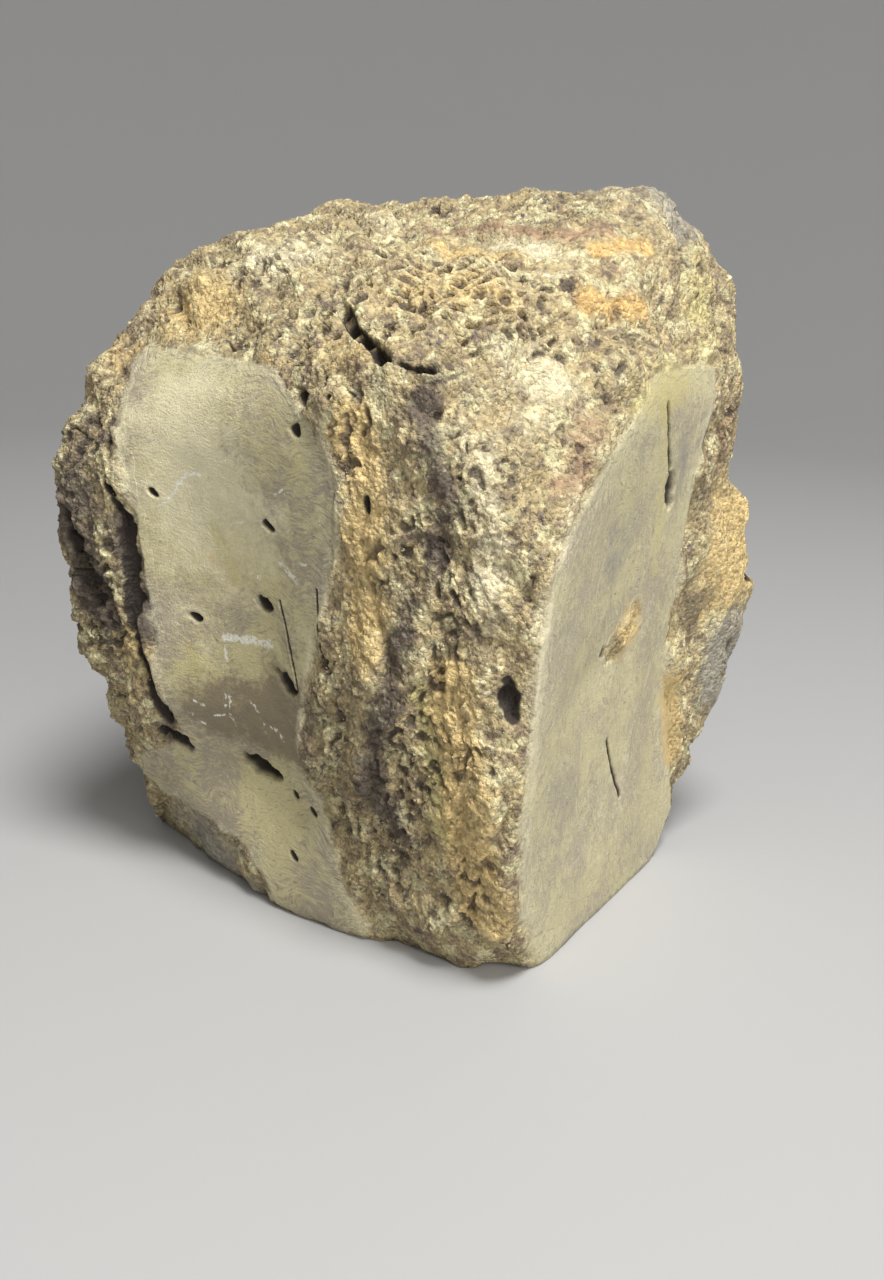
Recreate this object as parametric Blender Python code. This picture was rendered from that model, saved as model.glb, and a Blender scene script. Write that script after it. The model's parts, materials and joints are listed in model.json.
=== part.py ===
# Fossil hadrosaur vertebra: the body (centrum) of one back bone, life size.
# The bone is one closed solid. It is shaped as a ball whose points are drawn out to a set of
# flat walls, rounded where the walls meet, then hollowed, grooved and roughened by named forms.
#
# Bone directions: X runs along the length of the centrum, towards the smooth joint face.
# Y runs across it, and the side with the open panel faces -Y. Z is up, towards the spinal canal.
# Lengths below are in millimetres from a working origin under the bone. The finished mesh is
# centred over its own base and made in metres.

import math

import bmesh
import bpy
import numpy as np
from mathutils import Vector, noise

NAME = "centrum"
MM = 0.001

# Middle of the bone, from which every wall is measured
HEART = np.array([-12.0, 12.0, 62.0])

# Walls: a point that the wall passes through, then the way it faces, as a compass angle
# from +X towards +Y and a tilt above level, both in degrees
SIDE_WALLS = {
    "near side": ((15, -38, 60), -92, 0),
    "near side by the joint face": ((37, -31, 60), -69, 0),
    "near side underneath": ((10, -25, 0), -90, -17),
    "near foot, left": ((-54, -13, 0), -114, -22),
    "near shoulder": ((-66, -32.5, 87), -108, 43),
    "canal slope": ((6, 5, 124), -80, 71),
    "crest, far slope": ((20, 25, 138), 90, 76),
    "crest, along": ((-45, 20, 129.5), 180, 84),
    "crest, left end": ((-57, 15, 125.5), 180, 58),
    "far shoulder": ((28, 54, 126), 90, 35),
    "far side": ((0, 57, 70), 90, 0),
    "far side underneath": ((0, 48, 0), 90, -20),
    "far foot by the joint face": ((31, 43.0, 3), 72, -40),
    "far shoulder by the worn end": ((-60, 45, 112), 122, 40),
    "far foot by the worn end": ((-58, 42, 8), 118, -36),
}
CORNER_WALLS = {
    "shoulder by the joint face": ((38.6, -30.4, 78.6), -34, 36),
    "foot by the joint face": ((31, -18, 0), -50, -30),
}
RIM_WALLS = {
    "worn end face": ((-66.5, 10, 60), 180, 0),
}
JOINT_WALLS = {
    "joint face": ((37, -30, 78), 0, -4),
    "joint face, top": ((38, 0, 102), 0, 26),
}
# How crisply walls meet: a higher number leaves a sharper edge
SIDE_CRISPNESS = 20
CORNER_CRISPNESS = 25
RIM_CRISPNESS = 26
JOINT_CRISPNESS = 46
# A ray that runs nearly along a wall meets it this far out at most, as the cosine to the wall's facing
SMALLEST_COSINE = 1e-4
# A point is on the joint face from the first of these shares of the way out to it
JOINT_EDGE = (0.99, 1.02)

# Waist of the near side: middle and half length along X, depth, and the heights between
# which it sets in at the foot and fades at the head
WAIST_MIDDLE = -25.0
WAIST_HALF_LENGTH = 25.0
WAIST_DEPTH = 8.5
WAIST_FOOT = (0.0, 28.0)
WAIST_HEAD = (52.0, 118.0)
WAIST_SIDE = (4.0, 18.0)
VALLEY_HEIGHT = 27.0
VALLEY_REACH = 8.0
VALLEY_DEPTH = 1.6

# Waist of the far side
FAR_WAIST_MIDDLE = -14.0
FAR_WAIST_DEPTH = 10.5
FAR_WAIST_SIDE = (28.0, 42.0)

# Hollows of the two end faces: middle across, middle up, half width, half height, depth
JOINT_DISH = (8.0, 58.0, 27.0, 36.0, 3.2)
WORN_DISH = (12.0, 64.0, 24.0, 34.0, 6.0)
END_FACE_SIDE = (22.0, 38.0)

# Local forms: middle, reach along X, Y and Z, and the push in millimetres along X, Y and Z
FORMS = {
    "far lip of the joint face": ((36, 56, 49), (20, 13, 20), (4.6, 3.4, 0)),
    "notch above the lip": ((34, 54, 82), (26, 14, 7), (-1.5, -6.2, 0)),
    "hollow beside the lip": ((34, 34, 34), (14, 9, 26), (-1.8, 0, 0)),
    "slanting hollow of the joint face": ((32, -2, 52), (12, 13, 7), (-1.3, 0, 0)),
    "far corner above the notch": ((34, 56, 98), (22, 14, 12), (-0.8, -5.6, 0)),
    "far arch base": ((14, 26, 132), (20, 15, 20), (0, 0, 2.2)),
    "canal floor": ((-12, 5, 122), (60, 5.5, 16), (0, 0, -2.0)),
    "dip of the crest": ((-52, 6, 122), (6, 18, 14), (0, 0, -1.4)),
    "near rim by the panel": ((6, -36, 62), (4.5, 12, 34), (0, -0.9, 0)),
    "trough of the near rim": ((19, -36, 62), (5, 12, 42), (0, 1.3, 0)),
    "ridge of the near rim": ((28, -34, 50), (4.5, 12, 38), (0, -0.8, 0)),
    "foot of the near rim": ((23, -27, 4), (9, 10, 9), (0, -1.6, 0)),
    "far rim of the worn end": ((-56, 52, 66), (9, 16, 26), (-0.8, 2.2, 0)),
    "far arch base, worn end": ((-40, 38, 124), (14, 12, 16), (0, 1.5, 1.6)),
    "far side low bulge": ((-20, 44, 26), (26, 14, 12), (0, 1.8, 0)),
}

# Hollow under the bone: middle and reach along X and Y, and height. Its outermost share is left
# flat, so that a ring of level bone stays under the foot.
UNDERSIDE_HOLLOW = ((-16, 10), (26, 17), 3.0)
UNDERSIDE_FLAT_SHARE = 0.08

# Grooves, cracks and blood-vessel holes: the two ends, half width and depth
GROOVES = {
    "great vessel hole": ((-26.2, -22.5, 29.6), (-21.6, -23.5, 28.2), 1.3, 3.2),
    "middle vessel hole": ((-14.9, -29.5, 48.6), (-12.2, -30, 47.2), 1.0, 2.0),
    "upper vessel hole": ((-19.4, -29.4, 62.4), (-17.4, -29.6, 62.2), 0.9, 1.6),
    "slanting crack of the shoulder": ((-4.1, -24.5, 112.8), (8.5, -33.4, 105.6), 1.4, 3.0),
    "pits of the shoulder": ((-27.4, -18.7, 114.6), (-22.5, -19, 114), 1.2, 2.2),
    "pit over the panel": ((-7.6, -35.5, 101), (-6.2, -35.5, 98.4), 1.1, 2.2),
    "crevice along the panel, upper": ((-48, -31.5, 90), (-46, -31, 64), 1.4, 1.3),
    "crevice along the panel, lower": ((-46, -31, 64), (-43, -25.5, 34), 1.4, 1.3),
    "pit of the worn rim": ((-44.4, -24.5, 30.8), (-41.8, -24.5, 29.8), 1.2, 2.4),
    "hollow of the worn rim": ((-60.0, -32.0, 68.0), (-56.0, -31.0, 54.0), 2.0, 2.0),
    "cavity by the ridge": ((32.0, -33.0, 58.0), (32.2, -32.5, 51.5), 1.4, 2.4),
    "hole of the joint face": ((31, 1.4, 55), (31, 3.0, 54.4), 1.2, 2.2),
    "long crack of the joint face": ((37.3, 10.4, 98), (35.9, 16.4, 86), 0.9, 1.8),
    "open end of the long crack": ((35.9, 16.4, 86), (35.0, 20.0, 78), 1.4, 2.8),
    "low crack of the joint face": ((31.6, 7.0, 36.3), (31.6, 15.3, 22.3), 0.9, 1.2),
}

# Smooth bone of the near panel: its two edges and its head, as (height, place) pairs
PANEL_LEFT_EDGE = ((0, -25), (28, -41.5), (50, -45), (81, -46), (100, -53))
PANEL_RIGHT_EDGE = ((0, -3), (30, -7), (50, -2.5), (75, 0.5), (93, -0.5), (105, -16))
PANEL_HEAD = 103.5
PANEL_SIDE = (2.0, 12.0)
PANEL_EDGE_REACH = 1.6
# Smooth bone of the far panel: where it sets in across the bone, its head and its half length
FAR_PANEL_SIDE = (34.0, 44.0)
FAR_PANEL_HEAD = (94.0, 100.0)
FAR_PANEL_HALF_LENGTH = 18.4
# Smooth bone of the joint face ends at the far lip and below the top
LIP_EDGE = ((0, 46), (19, 41), (35, 36), (50, 31), (66, 30), (82, 29), (100, 34))
LIP_EDGE_REACH = 1.5
JOINT_FACE_HEAD = (100.0, 108.0)

# The worn parts carry a crust with lumps and, between creases, knobs that are drawn out upright.
# The whole bone has long waves.
CRUST = 0.1
LUMP_SIZE, LUMP_HEIGHT = 12.0, 1.7
KNOB_SIZE, KNOB_HEIGHT = 8.0, 4.0
KNOB_LEVEL = 0.2  # value of the noise at which a knob is level with the crust
KNOB_STRETCH = 0.65
WAVE_SIZE, WAVE_HEIGHT = 38.0, 0.8

# Mesh: the edge lengths wanted on smooth bone, on worn bone, on the ridge and in the grooves
BALL_STEPS = 5
SMOOTH_EDGE = 5.6
WORN_EDGE = 3.75
RIDGE_EDGE = 2.4
RIDGE_FOOT = (4.0, 10.0)
GROOVE_EDGE = 1.65
GROOVE_SIDE = (1.5, 3.5)  # in half widths of the groove
UNDERSIDE_EDGE = 7.0
UNDERSIDE_HEAD = 1.0
REFINING_ROUNDS = 4
SPLIT_FROM = 1.35

BONE_COLOR = (0.38, 0.30, 0.18, 1.0)
BONE_ROUGHNESS = 0.8


def facing(compass, tilt):
    turn, rise = math.radians(compass), math.radians(tilt)
    level = math.cos(rise)
    return np.array([math.cos(turn) * level, math.sin(turn) * level, math.sin(rise)])


def reach_of(walls, rays):
    """Distance from the heart to each wall along each ray."""
    rows = []
    for through, compass, tilt in walls.values():
        outward = facing(compass, tilt)
        distance = float(np.dot(np.array(through, float) - HEART, outward))
        rows.append(distance / np.maximum(rays @ outward, SMALLEST_COSINE))
    return rows


def soft_least(rows, crispness):
    rows = np.array(rows)
    least = rows.min(axis=0)
    return least * ((rows / least) ** -crispness).sum(axis=0) ** (-1.0 / crispness)


def ramp(value, low, high):
    part = np.clip((value - low) / (high - low), 0.0, 1.0)
    return part * part * (3.0 - 2.0 * part)


def past(value, edge, reach):
    """0 before the edge, 1 beyond it."""
    return ramp(value, edge - reach, edge + reach)


def hill(value, middle, reach):
    return np.exp(-(((value - middle) / reach) ** 2))


def along(edge, height):
    heights, places = zip(*edge)
    return np.interp(height, heights, places)


def walls_of_bone(rays):
    """Points where the rays from the heart meet the rounded walls, and 1 on the joint face."""
    reach = soft_least(reach_of(SIDE_WALLS, rays), SIDE_CRISPNESS)
    reach = soft_least([reach, *reach_of(CORNER_WALLS, rays)], CORNER_CRISPNESS)
    reach = soft_least([reach, *reach_of(RIM_WALLS, rays)], RIM_CRISPNESS)
    joint = reach_of(JOINT_WALLS, rays)
    on_joint = ramp(reach / np.min(joint, axis=0), *JOINT_EDGE)
    reach = soft_least([reach, *joint], JOINT_CRISPNESS)
    return HEART + rays * reach[:, None], on_joint


def hollowed(points):
    """The waist on both sides, the two dished ends and the local forms."""
    x, y, z = points.T
    moved = points.copy()
    tall = ramp(z, *WAIST_FOOT) * (1.0 - ramp(z, *WAIST_HEAD))
    waist = hill(x, WAIST_MIDDLE, WAIST_HALF_LENGTH)
    valley = VALLEY_DEPTH * hill(z, VALLEY_HEIGHT, VALLEY_REACH)
    moved[:, 1] += ramp(-y, *WAIST_SIDE) * waist * (WAIST_DEPTH * tall + valley)
    far_waist = hill(x, FAR_WAIST_MIDDLE, WAIST_HALF_LENGTH)
    moved[:, 1] -= ramp(y, *FAR_WAIST_SIDE) * far_waist * FAR_WAIST_DEPTH * tall
    for dish_form, side in ((JOINT_DISH, 1.0), (WORN_DISH, -1.0)):
        across, up, half_width, half_height, depth = dish_form
        on_face = ramp(side * (x - HEART[0]), *END_FACE_SIDE)
        dish = hill(y, across, half_width) * hill(z, up, half_height)
        moved[:, 0] -= side * on_face * depth * dish
    for middle, reach, push in FORMS.values():
        share = np.ones(len(points))
        for axis in range(3):
            share *= hill(points[:, axis], middle[axis], reach[axis])
        moved += share[:, None] * np.array(push)
    return moved


def smooth_share(points, on_joint):
    """1 on the smooth bone of the two side panels and the joint face, 0 where it is worn."""
    x, y, z = points.T
    near = ramp(-y, *PANEL_SIDE) * (1.0 - past(z, PANEL_HEAD, PANEL_EDGE_REACH))
    near *= past(x, along(PANEL_LEFT_EDGE, z), PANEL_EDGE_REACH)
    near *= 1.0 - past(x, along(PANEL_RIGHT_EDGE, z), PANEL_EDGE_REACH)
    far = ramp(y, *FAR_PANEL_SIDE) * (1.0 - ramp(z, *FAR_PANEL_HEAD))
    far *= hill(x, FAR_WAIST_MIDDLE, FAR_PANEL_HALF_LENGTH)
    joint = on_joint * (1.0 - ramp(z, *JOINT_FACE_HEAD))
    joint *= 1.0 - past(y, along(LIP_EDGE, z), LIP_EDGE_REACH)
    return np.clip(near + far + joint, 0.0, 1.0)


def groove_distances(points):
    """Distance from each point to the middle line of each groove."""
    rows = []
    for start, end, _, _ in GROOVES.values():
        first, run = np.array(start, float), np.subtract(end, start).astype(float)
        part = np.clip((points - first) @ run / (run @ run), 0.0, 1.0)
        rows.append(np.linalg.norm(points - first - part[:, None] * run, axis=1))
    return rows


def relief(points, rays, smooth):
    """Long waves everywhere, a crust with lumps and knobs where the bone is worn, and the grooves."""
    heights = np.empty(len(points))
    for i, place in enumerate(points):
        spot = Vector(place)
        lump = LUMP_HEIGHT * noise.noise(spot / LUMP_SIZE)
        drawn_out = Vector((spot.x, spot.y, spot.z * KNOB_STRETCH)) / KNOB_SIZE
        knob = KNOB_HEIGHT * (abs(noise.noise(drawn_out)) - KNOB_LEVEL)
        wave = WAVE_HEIGHT * noise.noise(spot / WAVE_SIZE)
        heights[i] = wave + (1.0 - smooth[i]) * (CRUST + lump + knob)
    for (_, _, half_width, depth), distance in zip(GROOVES.values(), groove_distances(points)):
        heights -= depth * hill(distance, 0.0, half_width)
    return points + rays * heights[:, None]


def edge_wanted(points, on_joint, smooth):
    wanted = WORN_EDGE + (SMOOTH_EDGE - WORN_EDGE) * smooth
    ridge = 4.0 * on_joint * (1.0 - on_joint) * ramp(points[:, 2], *RIDGE_FOOT)
    wanted += (RIDGE_EDGE - wanted) * ridge
    wanted = np.where(points[:, 2] < UNDERSIDE_HEAD, UNDERSIDE_EDGE, wanted)
    for (_, _, half_width, _), distance in zip(GROOVES.values(), groove_distances(points)):
        wanted += (GROOVE_EDGE - wanted) * (1.0 - ramp(distance / half_width, *GROOVE_SIDE))
    return wanted


def set_on_floor(points):
    """Cuts the foot off level, with a shallow hollow inside it."""
    (across_x, across_y), (reach_x, reach_y), rise = UNDERSIDE_HOLLOW
    hollow = hill(points[:, 0], across_x, reach_x) * hill(points[:, 1], across_y, reach_y)
    floor = np.maximum(rise * (hollow**2 - UNDERSIDE_FLAT_SHARE), 0.0)
    points[:, 2] = np.maximum(points[:, 2], floor)
    return points


def surface(rays):
    """Finished points, and the edge length wanted at each."""
    points, on_joint = walls_of_bone(rays)
    points = hollowed(points)
    smooth = smooth_share(points, on_joint)
    wanted = edge_wanted(points, on_joint, smooth)
    return set_on_floor(relief(points, rays, smooth)), wanted


def rays_of(ball):
    rays = np.array([vertex.co[:] for vertex in ball.verts])
    return rays / np.linalg.norm(rays, axis=1)[:, None]


def split_long_edges(ball):
    points, wanted = surface(rays_of(ball))
    ball.verts.index_update()
    long_edges = []
    for edge in ball.edges:
        first, second = (vertex.index for vertex in edge.verts)
        length = np.linalg.norm(points[first] - points[second])
        if length > SPLIT_FROM * 0.5 * (wanted[first] + wanted[second]):
            long_edges.append(edge)
    bmesh.ops.subdivide_edges(ball, edges=long_edges, cuts=1)
    bmesh.ops.triangulate(ball, faces=[face for face in ball.faces if len(face.verts) > 3])


def bone_mesh():
    ball = bmesh.new()
    bmesh.ops.create_icosphere(ball, subdivisions=BALL_STEPS, radius=1.0)
    for _ in range(REFINING_ROUNDS):
        split_long_edges(ball)
    points, _ = surface(rays_of(ball))
    lowest, highest = points.min(axis=0), points.max(axis=0)
    middle = 0.5 * (lowest + highest)
    middle[2] = 0.0
    print("size of the bone, mm:", np.round(highest - lowest, 2), "middle:", np.round(middle, 3))
    for vertex, place in zip(ball.verts, (points - middle) * MM):
        vertex.co = place
    bmesh.ops.recalc_face_normals(ball, faces=ball.faces[:])
    mesh = bpy.data.meshes.new(NAME)
    ball.to_mesh(mesh)
    ball.free()
    mesh.shade_smooth()
    return mesh


def bone_material():
    material = bpy.data.materials.new("fossil bone")
    material.use_nodes = True
    finish = material.node_tree.nodes["Principled BSDF"]
    finish.inputs["Base Color"].default_value = BONE_COLOR
    finish.inputs["Roughness"].default_value = BONE_ROUGHNESS
    finish.inputs["Metallic"].default_value = 0.0
    return material


def main():
    for leftover in list(bpy.data.objects):
        bpy.data.objects.remove(leftover)
    vertebra = bpy.data.collections.new("hadrosaur vertebra")
    bpy.context.scene.collection.children.link(vertebra)
    centrum = bpy.data.objects.new(NAME, bone_mesh())
    centrum.data.materials.append(bone_material())
    vertebra.objects.link(centrum)


main()
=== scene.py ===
# Fossil hadrosaur vertebra, life size: one worn bone body that rests on a pale studio floor.
# The skin is one closed mesh, drawn out from a ball to the bone's own walls and forms, then given
# its knobs, pores, cracks and vessel holes. Mineral grains and flakes lie on it as real pieces.
#
# Lengths in the shape settings are millimetres in the bone's working frame: X along the bone
# towards the joint face, -Y towards the open panel, Z up. The finished meshes are in metres,
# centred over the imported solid's base.

import json
import math

import bmesh
import bpy
import numpy as np
from mathutils import Matrix, Vector, noise

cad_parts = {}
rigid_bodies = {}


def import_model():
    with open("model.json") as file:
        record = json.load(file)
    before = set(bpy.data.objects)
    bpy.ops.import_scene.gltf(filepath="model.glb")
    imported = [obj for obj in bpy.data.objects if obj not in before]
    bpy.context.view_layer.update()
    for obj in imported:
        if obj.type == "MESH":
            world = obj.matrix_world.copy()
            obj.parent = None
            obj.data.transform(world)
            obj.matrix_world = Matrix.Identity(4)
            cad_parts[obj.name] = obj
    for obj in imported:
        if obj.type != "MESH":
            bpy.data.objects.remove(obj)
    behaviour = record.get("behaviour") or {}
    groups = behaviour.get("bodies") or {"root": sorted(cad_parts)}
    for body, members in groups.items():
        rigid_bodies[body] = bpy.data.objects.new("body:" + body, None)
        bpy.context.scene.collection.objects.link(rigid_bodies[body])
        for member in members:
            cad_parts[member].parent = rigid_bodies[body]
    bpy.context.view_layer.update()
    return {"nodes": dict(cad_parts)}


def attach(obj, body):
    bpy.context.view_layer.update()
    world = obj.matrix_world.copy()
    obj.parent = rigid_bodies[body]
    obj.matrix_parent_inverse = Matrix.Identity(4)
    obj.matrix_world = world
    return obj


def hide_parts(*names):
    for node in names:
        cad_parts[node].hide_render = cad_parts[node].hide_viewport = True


for leftover in list(bpy.data.objects):
    bpy.data.objects.remove(leftover)
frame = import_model()
mm = 0.001
print("frame loaded:", sorted(frame["nodes"]))


# Small helpers for numbers

def ramp(value, low, high):
    part = np.clip((value - low) / (high - low), 0.0, 1.0)
    return part * part * (3.0 - 2.0 * part)


def past(value, edge, reach):
    return ramp(value, edge - reach, edge + reach)  # 0 before the edge, 1 beyond it


def hill(value, middle, reach):
    return np.exp(-(((value - middle) / reach) ** 2))


def along(edge, height):
    heights, places = zip(*edge)
    return np.interp(height, heights, places)


def facing(compass, tilt):
    turn, rise = math.radians(compass), math.radians(tilt)
    level = math.cos(rise)
    return np.array([math.cos(turn) * level, math.sin(turn) * level, math.sin(rise)])


def noiseAt(points, size, seed=0.0):
    shifted = points / size + seed
    return np.array([noise.noise(Vector(place)) for place in shifted])


def billowAt(points, size, octaves, seed=0.0):
    # rounded grains with sharp creases between them, on ever smaller scales
    shifted = points / size + seed
    return np.array([noise.turbulence(Vector(place), octaves, True) for place in shifted])


def cellsAt(points, size, seed=0.0):
    # distance to the nearest cell middle and to the cell's border, one chance number a cell,
    # and the height of a leaning facet that goes through its middle
    rows = []
    for place in points / size + seed:
        spot = Vector(place)
        distances, middles = noise.voronoi(spot)
        lean = noise.cell_vector(middles[0] * 37.0) * 2.0 - Vector((1.0, 1.0, 1.0))
        rows.append((distances[0], distances[1] - distances[0], 0.5 + 0.5 * lean.x, lean.dot(spot - middles[0])))
    return np.array(rows).T


def distanceToRun(points, run, rays=None):
    # distance from each point to a line of straight stretches, aside of the rays if they are given
    nearest = np.full(len(points), 1e6)
    for start, end in zip(run[:-1], run[1:]):
        first = np.array(start, float)
        stretch = np.array(end, float) - first
        part = np.clip((points - first) @ stretch / (stretch @ stretch), 0.0, 1.0)
        gap = points - first - part[:, None] * stretch
        if rays is not None:
            gap -= (gap * rays).sum(axis=1)[:, None] * rays
        nearest = np.minimum(nearest, np.linalg.norm(gap, axis=1))
    return nearest


# The bone's main form

boneForm = {
    "heart": (-12.0, 12.0, 62.0),  # every wall is measured from here
    # a point that the wall passes through, its compass angle from +X towards +Y, its tilt
    "sideWalls": {
        "near side": ((15, -38, 60), -92, 0),
        "near side by the joint face": ((37, -31, 60), -69, 0),
        "near side underneath": ((10, -25, 0), -90, -17),
        "near foot, left": ((-54, -13, 0), -114, -22),
        "near shoulder": ((-66, -32.5, 87), -108, 43),
        "canal slope": ((6, 5, 124), -80, 71),
        "crest, far slope": ((20, 25, 138), 90, 76),
        "crest, along": ((-45, 20, 129.5), 180, 84),
        "crest, left end": ((-57, 15, 125.5), 180, 58),
        "far shoulder": ((28, 54, 126), 90, 35),
        "far side": ((0, 57, 70), 90, 0),
        "far side underneath": ((0, 48, 0), 90, -20),
        "far foot by the joint face": ((31, 43.0, 3), 72, -40),
        "far shoulder by the worn end": ((-60, 45, 112), 122, 40),
        "far foot by the worn end": ((-58, 42, 8), 118, -36),
    },
    "cornerWalls": {
        "shoulder by the joint face": ((38.6, -30.4, 78.6), -34, 36),
        "foot by the joint face": ((31, -18, 0), -50, -30),
    },
    "rimWalls": {"worn end face": ((-66.5, 10, 60), 180, 0)},
    "jointWalls": {
        "joint face": ((37, -30, 78), 0, -4),
        "joint face, top": ((38, 0, 102), 0, 26),
    },
    "crispness": {"side": 20, "corner": 25, "rim": 26, "joint": 46},  # higher is sharper
    "ridgeReach": 52.0,  # mm from the heart to the walls beside the joint face
    "jointEdge": 0.5,
    "waist": {"middle": -25.0, "farMiddle": -14.0, "halfLength": 25.0, "depth": 8.5, "farDepth": 10.5},
    "waistFoot": (0.0, 28.0),
    "waistHead": (52.0, 118.0),
    "nearSide": (4.0, 18.0),
    "farSide": (28.0, 42.0),
    "valley": (27.0, 8.0, 1.6),  # height, reach and depth
    "endFace": (22.0, 38.0),
    # middle across, middle up, half width, half height, depth, and the end that it is on
    "dishes": {
        "joint face": (8.0, 58.0, 27.0, 36.0, 3.2, 1.0),
        "worn end": (12.0, 64.0, 24.0, 34.0, 6.0, -1.0),
    },
    # middle, reach along each axis, and the push along each axis
    "forms": {
        "far lip of the joint face": ((36, 56, 49), (20, 13, 20), (4.6, 3.4, 0)),
        "notch above the lip": ((34, 54, 82), (26, 14, 7), (-1.5, -6.2, 0)),
        "hollow beside the lip": ((34, 34, 34), (14, 9, 26), (-1.8, 0, 0)),
        "slanting hollow of the joint face": ((32, -2, 52), (12, 13, 7), (-1.3, 0, 0)),
        "far corner above the notch": ((34, 56, 98), (22, 14, 12), (-0.8, -5.6, 0)),
        "far arch base": ((14, 26, 132), (20, 15, 20), (0, 0, 2.2)),
        "canal floor": ((-12, 5, 122), (60, 5.5, 16), (0, 0, -2.0)),
        "dip of the crest": ((-52, 6, 122), (6, 18, 14), (0, 0, -1.4)),
        "near rim by the panel": ((6, -36, 62), (4.5, 12, 34), (0, -0.9, 0)),
        "trough of the near rim": ((19, -36, 62), (5, 12, 42), (0, 1.3, 0)),
        "ridge of the near rim": ((28, -34, 50), (4.5, 12, 38), (0, -0.8, 0)),
        "foot of the near rim": ((23, -27, 4), (9, 10, 9), (0, -1.6, 0)),
        "far rim of the worn end": ((-56, 52, 66), (9, 16, 26), (-0.8, 2.2, 0)),
        "far arch base, worn end": ((-40, 38, 124), (14, 12, 16), (0, 1.5, 1.6)),
        "far side low bulge": ((-20, 44, 26), (26, 14, 12), (0, 1.8, 0)),
    },
    "undersideHollow": ((-16.0, 10.0), (26.0, 17.0), 3.0, 0.08),
    # edges of the smooth bone, as (height, place) pairs
    "panelLeft": ((0, -20), (4, -22.5), (8, -25), (11, -28.5), (13, -35), (14.5, -50), (16, -60), (21, -59),
                  (25, -52), (29, -44.5), (33, -42.5), (50, -44.5), (81, -46), (100, -53)),
    "panelRight": ((0, 1), (7, -1.5), (17, -5.9), (25.6, -9.6), (29.5, -13.5), (37, -12.6), (46, -9.6), (58, -6.6),
                   (66, -3), (74, -0.4), (86, 0.9), (93, -2.5), (105, -16)),
    "panelHead": 103.5,
    "panelSide": (2.0, 12.0),
    "farPanelSide": (34.0, 44.0),
    "farPanelHead": (96.0, 0.22),  # height above its middle, and slope along the bone
    "farPanelWornSide": ((0, -33), (8, -30), (20, -31.5), (34, -34), (52, -31), (70, -29.5), (84, -32), (100, -27)),
    "farPanelJointSide": ((0, 7), (9, 3.5), (20, -1), (36, -3.5), (52, 0.5), (68, 3.5), (82, 2), (100, -4)),
    "lipEdge": ((0, 46), (19, 41), (35, 36), (50, 31), (66, 30), (82, 29), (100, 34)),
    "jointHead": 104.0,
    # patches of the joint face that are worn to sandy bone: a run and its half width
    "sandyPatches": {
        "by the joint hole": (((32.3, 12.5, 59), (30.8, 6, 54.5)), 2.6),
    },
    "raggedEdge": (6.0, 1.8, 2.0, 0.7),  # size and reach of the large and the small chips along it
    "edgeReach": 0.55,
    "colorReach": 2.6,  # the colour of the worn bone fades over this much
    "rimReach": 9.0,  # the smooth bone is paler within this much of its edges
}
heart = np.array(boneForm["heart"])


def reachOf(walls, rays):
    rows = []
    for through, compass, tilt in walls.values():
        outward = facing(compass, tilt)
        distance = float(np.dot(np.array(through, float) - heart, outward))
        rows.append(distance / np.maximum(rays @ outward, 1e-4))
    return rows


def softLeast(rows, crispness):
    rows = np.array(rows)
    least = rows.min(axis=0)
    return least * ((rows / least) ** -crispness).sum(axis=0) ** (-1.0 / crispness)


def wallsOfBone(rays):
    crisp = boneForm["crispness"]
    reach = softLeast(reachOf(boneForm["sideWalls"], rays), crisp["side"])
    reach = softLeast([reach, *reachOf(boneForm["cornerWalls"], rays)], crisp["corner"])
    reach = softLeast([reach, *reachOf(boneForm["rimWalls"], rays)], crisp["rim"])
    joint = reachOf(boneForm["jointWalls"], rays)
    pastRidge = boneForm["ridgeReach"] * (reach / np.min(joint, axis=0) - 1.0)
    reach = softLeast([reach, *joint], crisp["joint"])
    return heart + rays * reach[:, None], pastRidge


def hollowed(points):
    x, y, z = points.T
    moved = points.copy()
    waist = boneForm["waist"]
    tall = ramp(z, *boneForm["waistFoot"]) * (1.0 - ramp(z, *boneForm["waistHead"]))
    valleyHeight, valleyReach, valleyDepth = boneForm["valley"]
    nearPull = waist["depth"] * tall + valleyDepth * hill(z, valleyHeight, valleyReach)
    nearPull *= hill(x, waist["middle"], waist["halfLength"])
    moved[:, 1] += ramp(-y, *boneForm["nearSide"]) * nearPull
    farPull = waist["farDepth"] * tall * hill(x, waist["farMiddle"], waist["halfLength"])
    moved[:, 1] -= ramp(y, *boneForm["farSide"]) * farPull
    for across, up, halfWidth, halfHeight, depth, side in boneForm["dishes"].values():
        onFace = ramp(side * (x - heart[0]), *boneForm["endFace"])
        moved[:, 0] -= side * depth * onFace * hill(y, across, halfWidth) * hill(z, up, halfHeight)
    for middle, reach, push in boneForm["forms"].values():
        share = np.ones(len(points))
        for axis in range(3):
            share *= hill(points[:, axis], middle[axis], reach[axis])
        moved += share[:, None] * np.array(push)
    return moved


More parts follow.
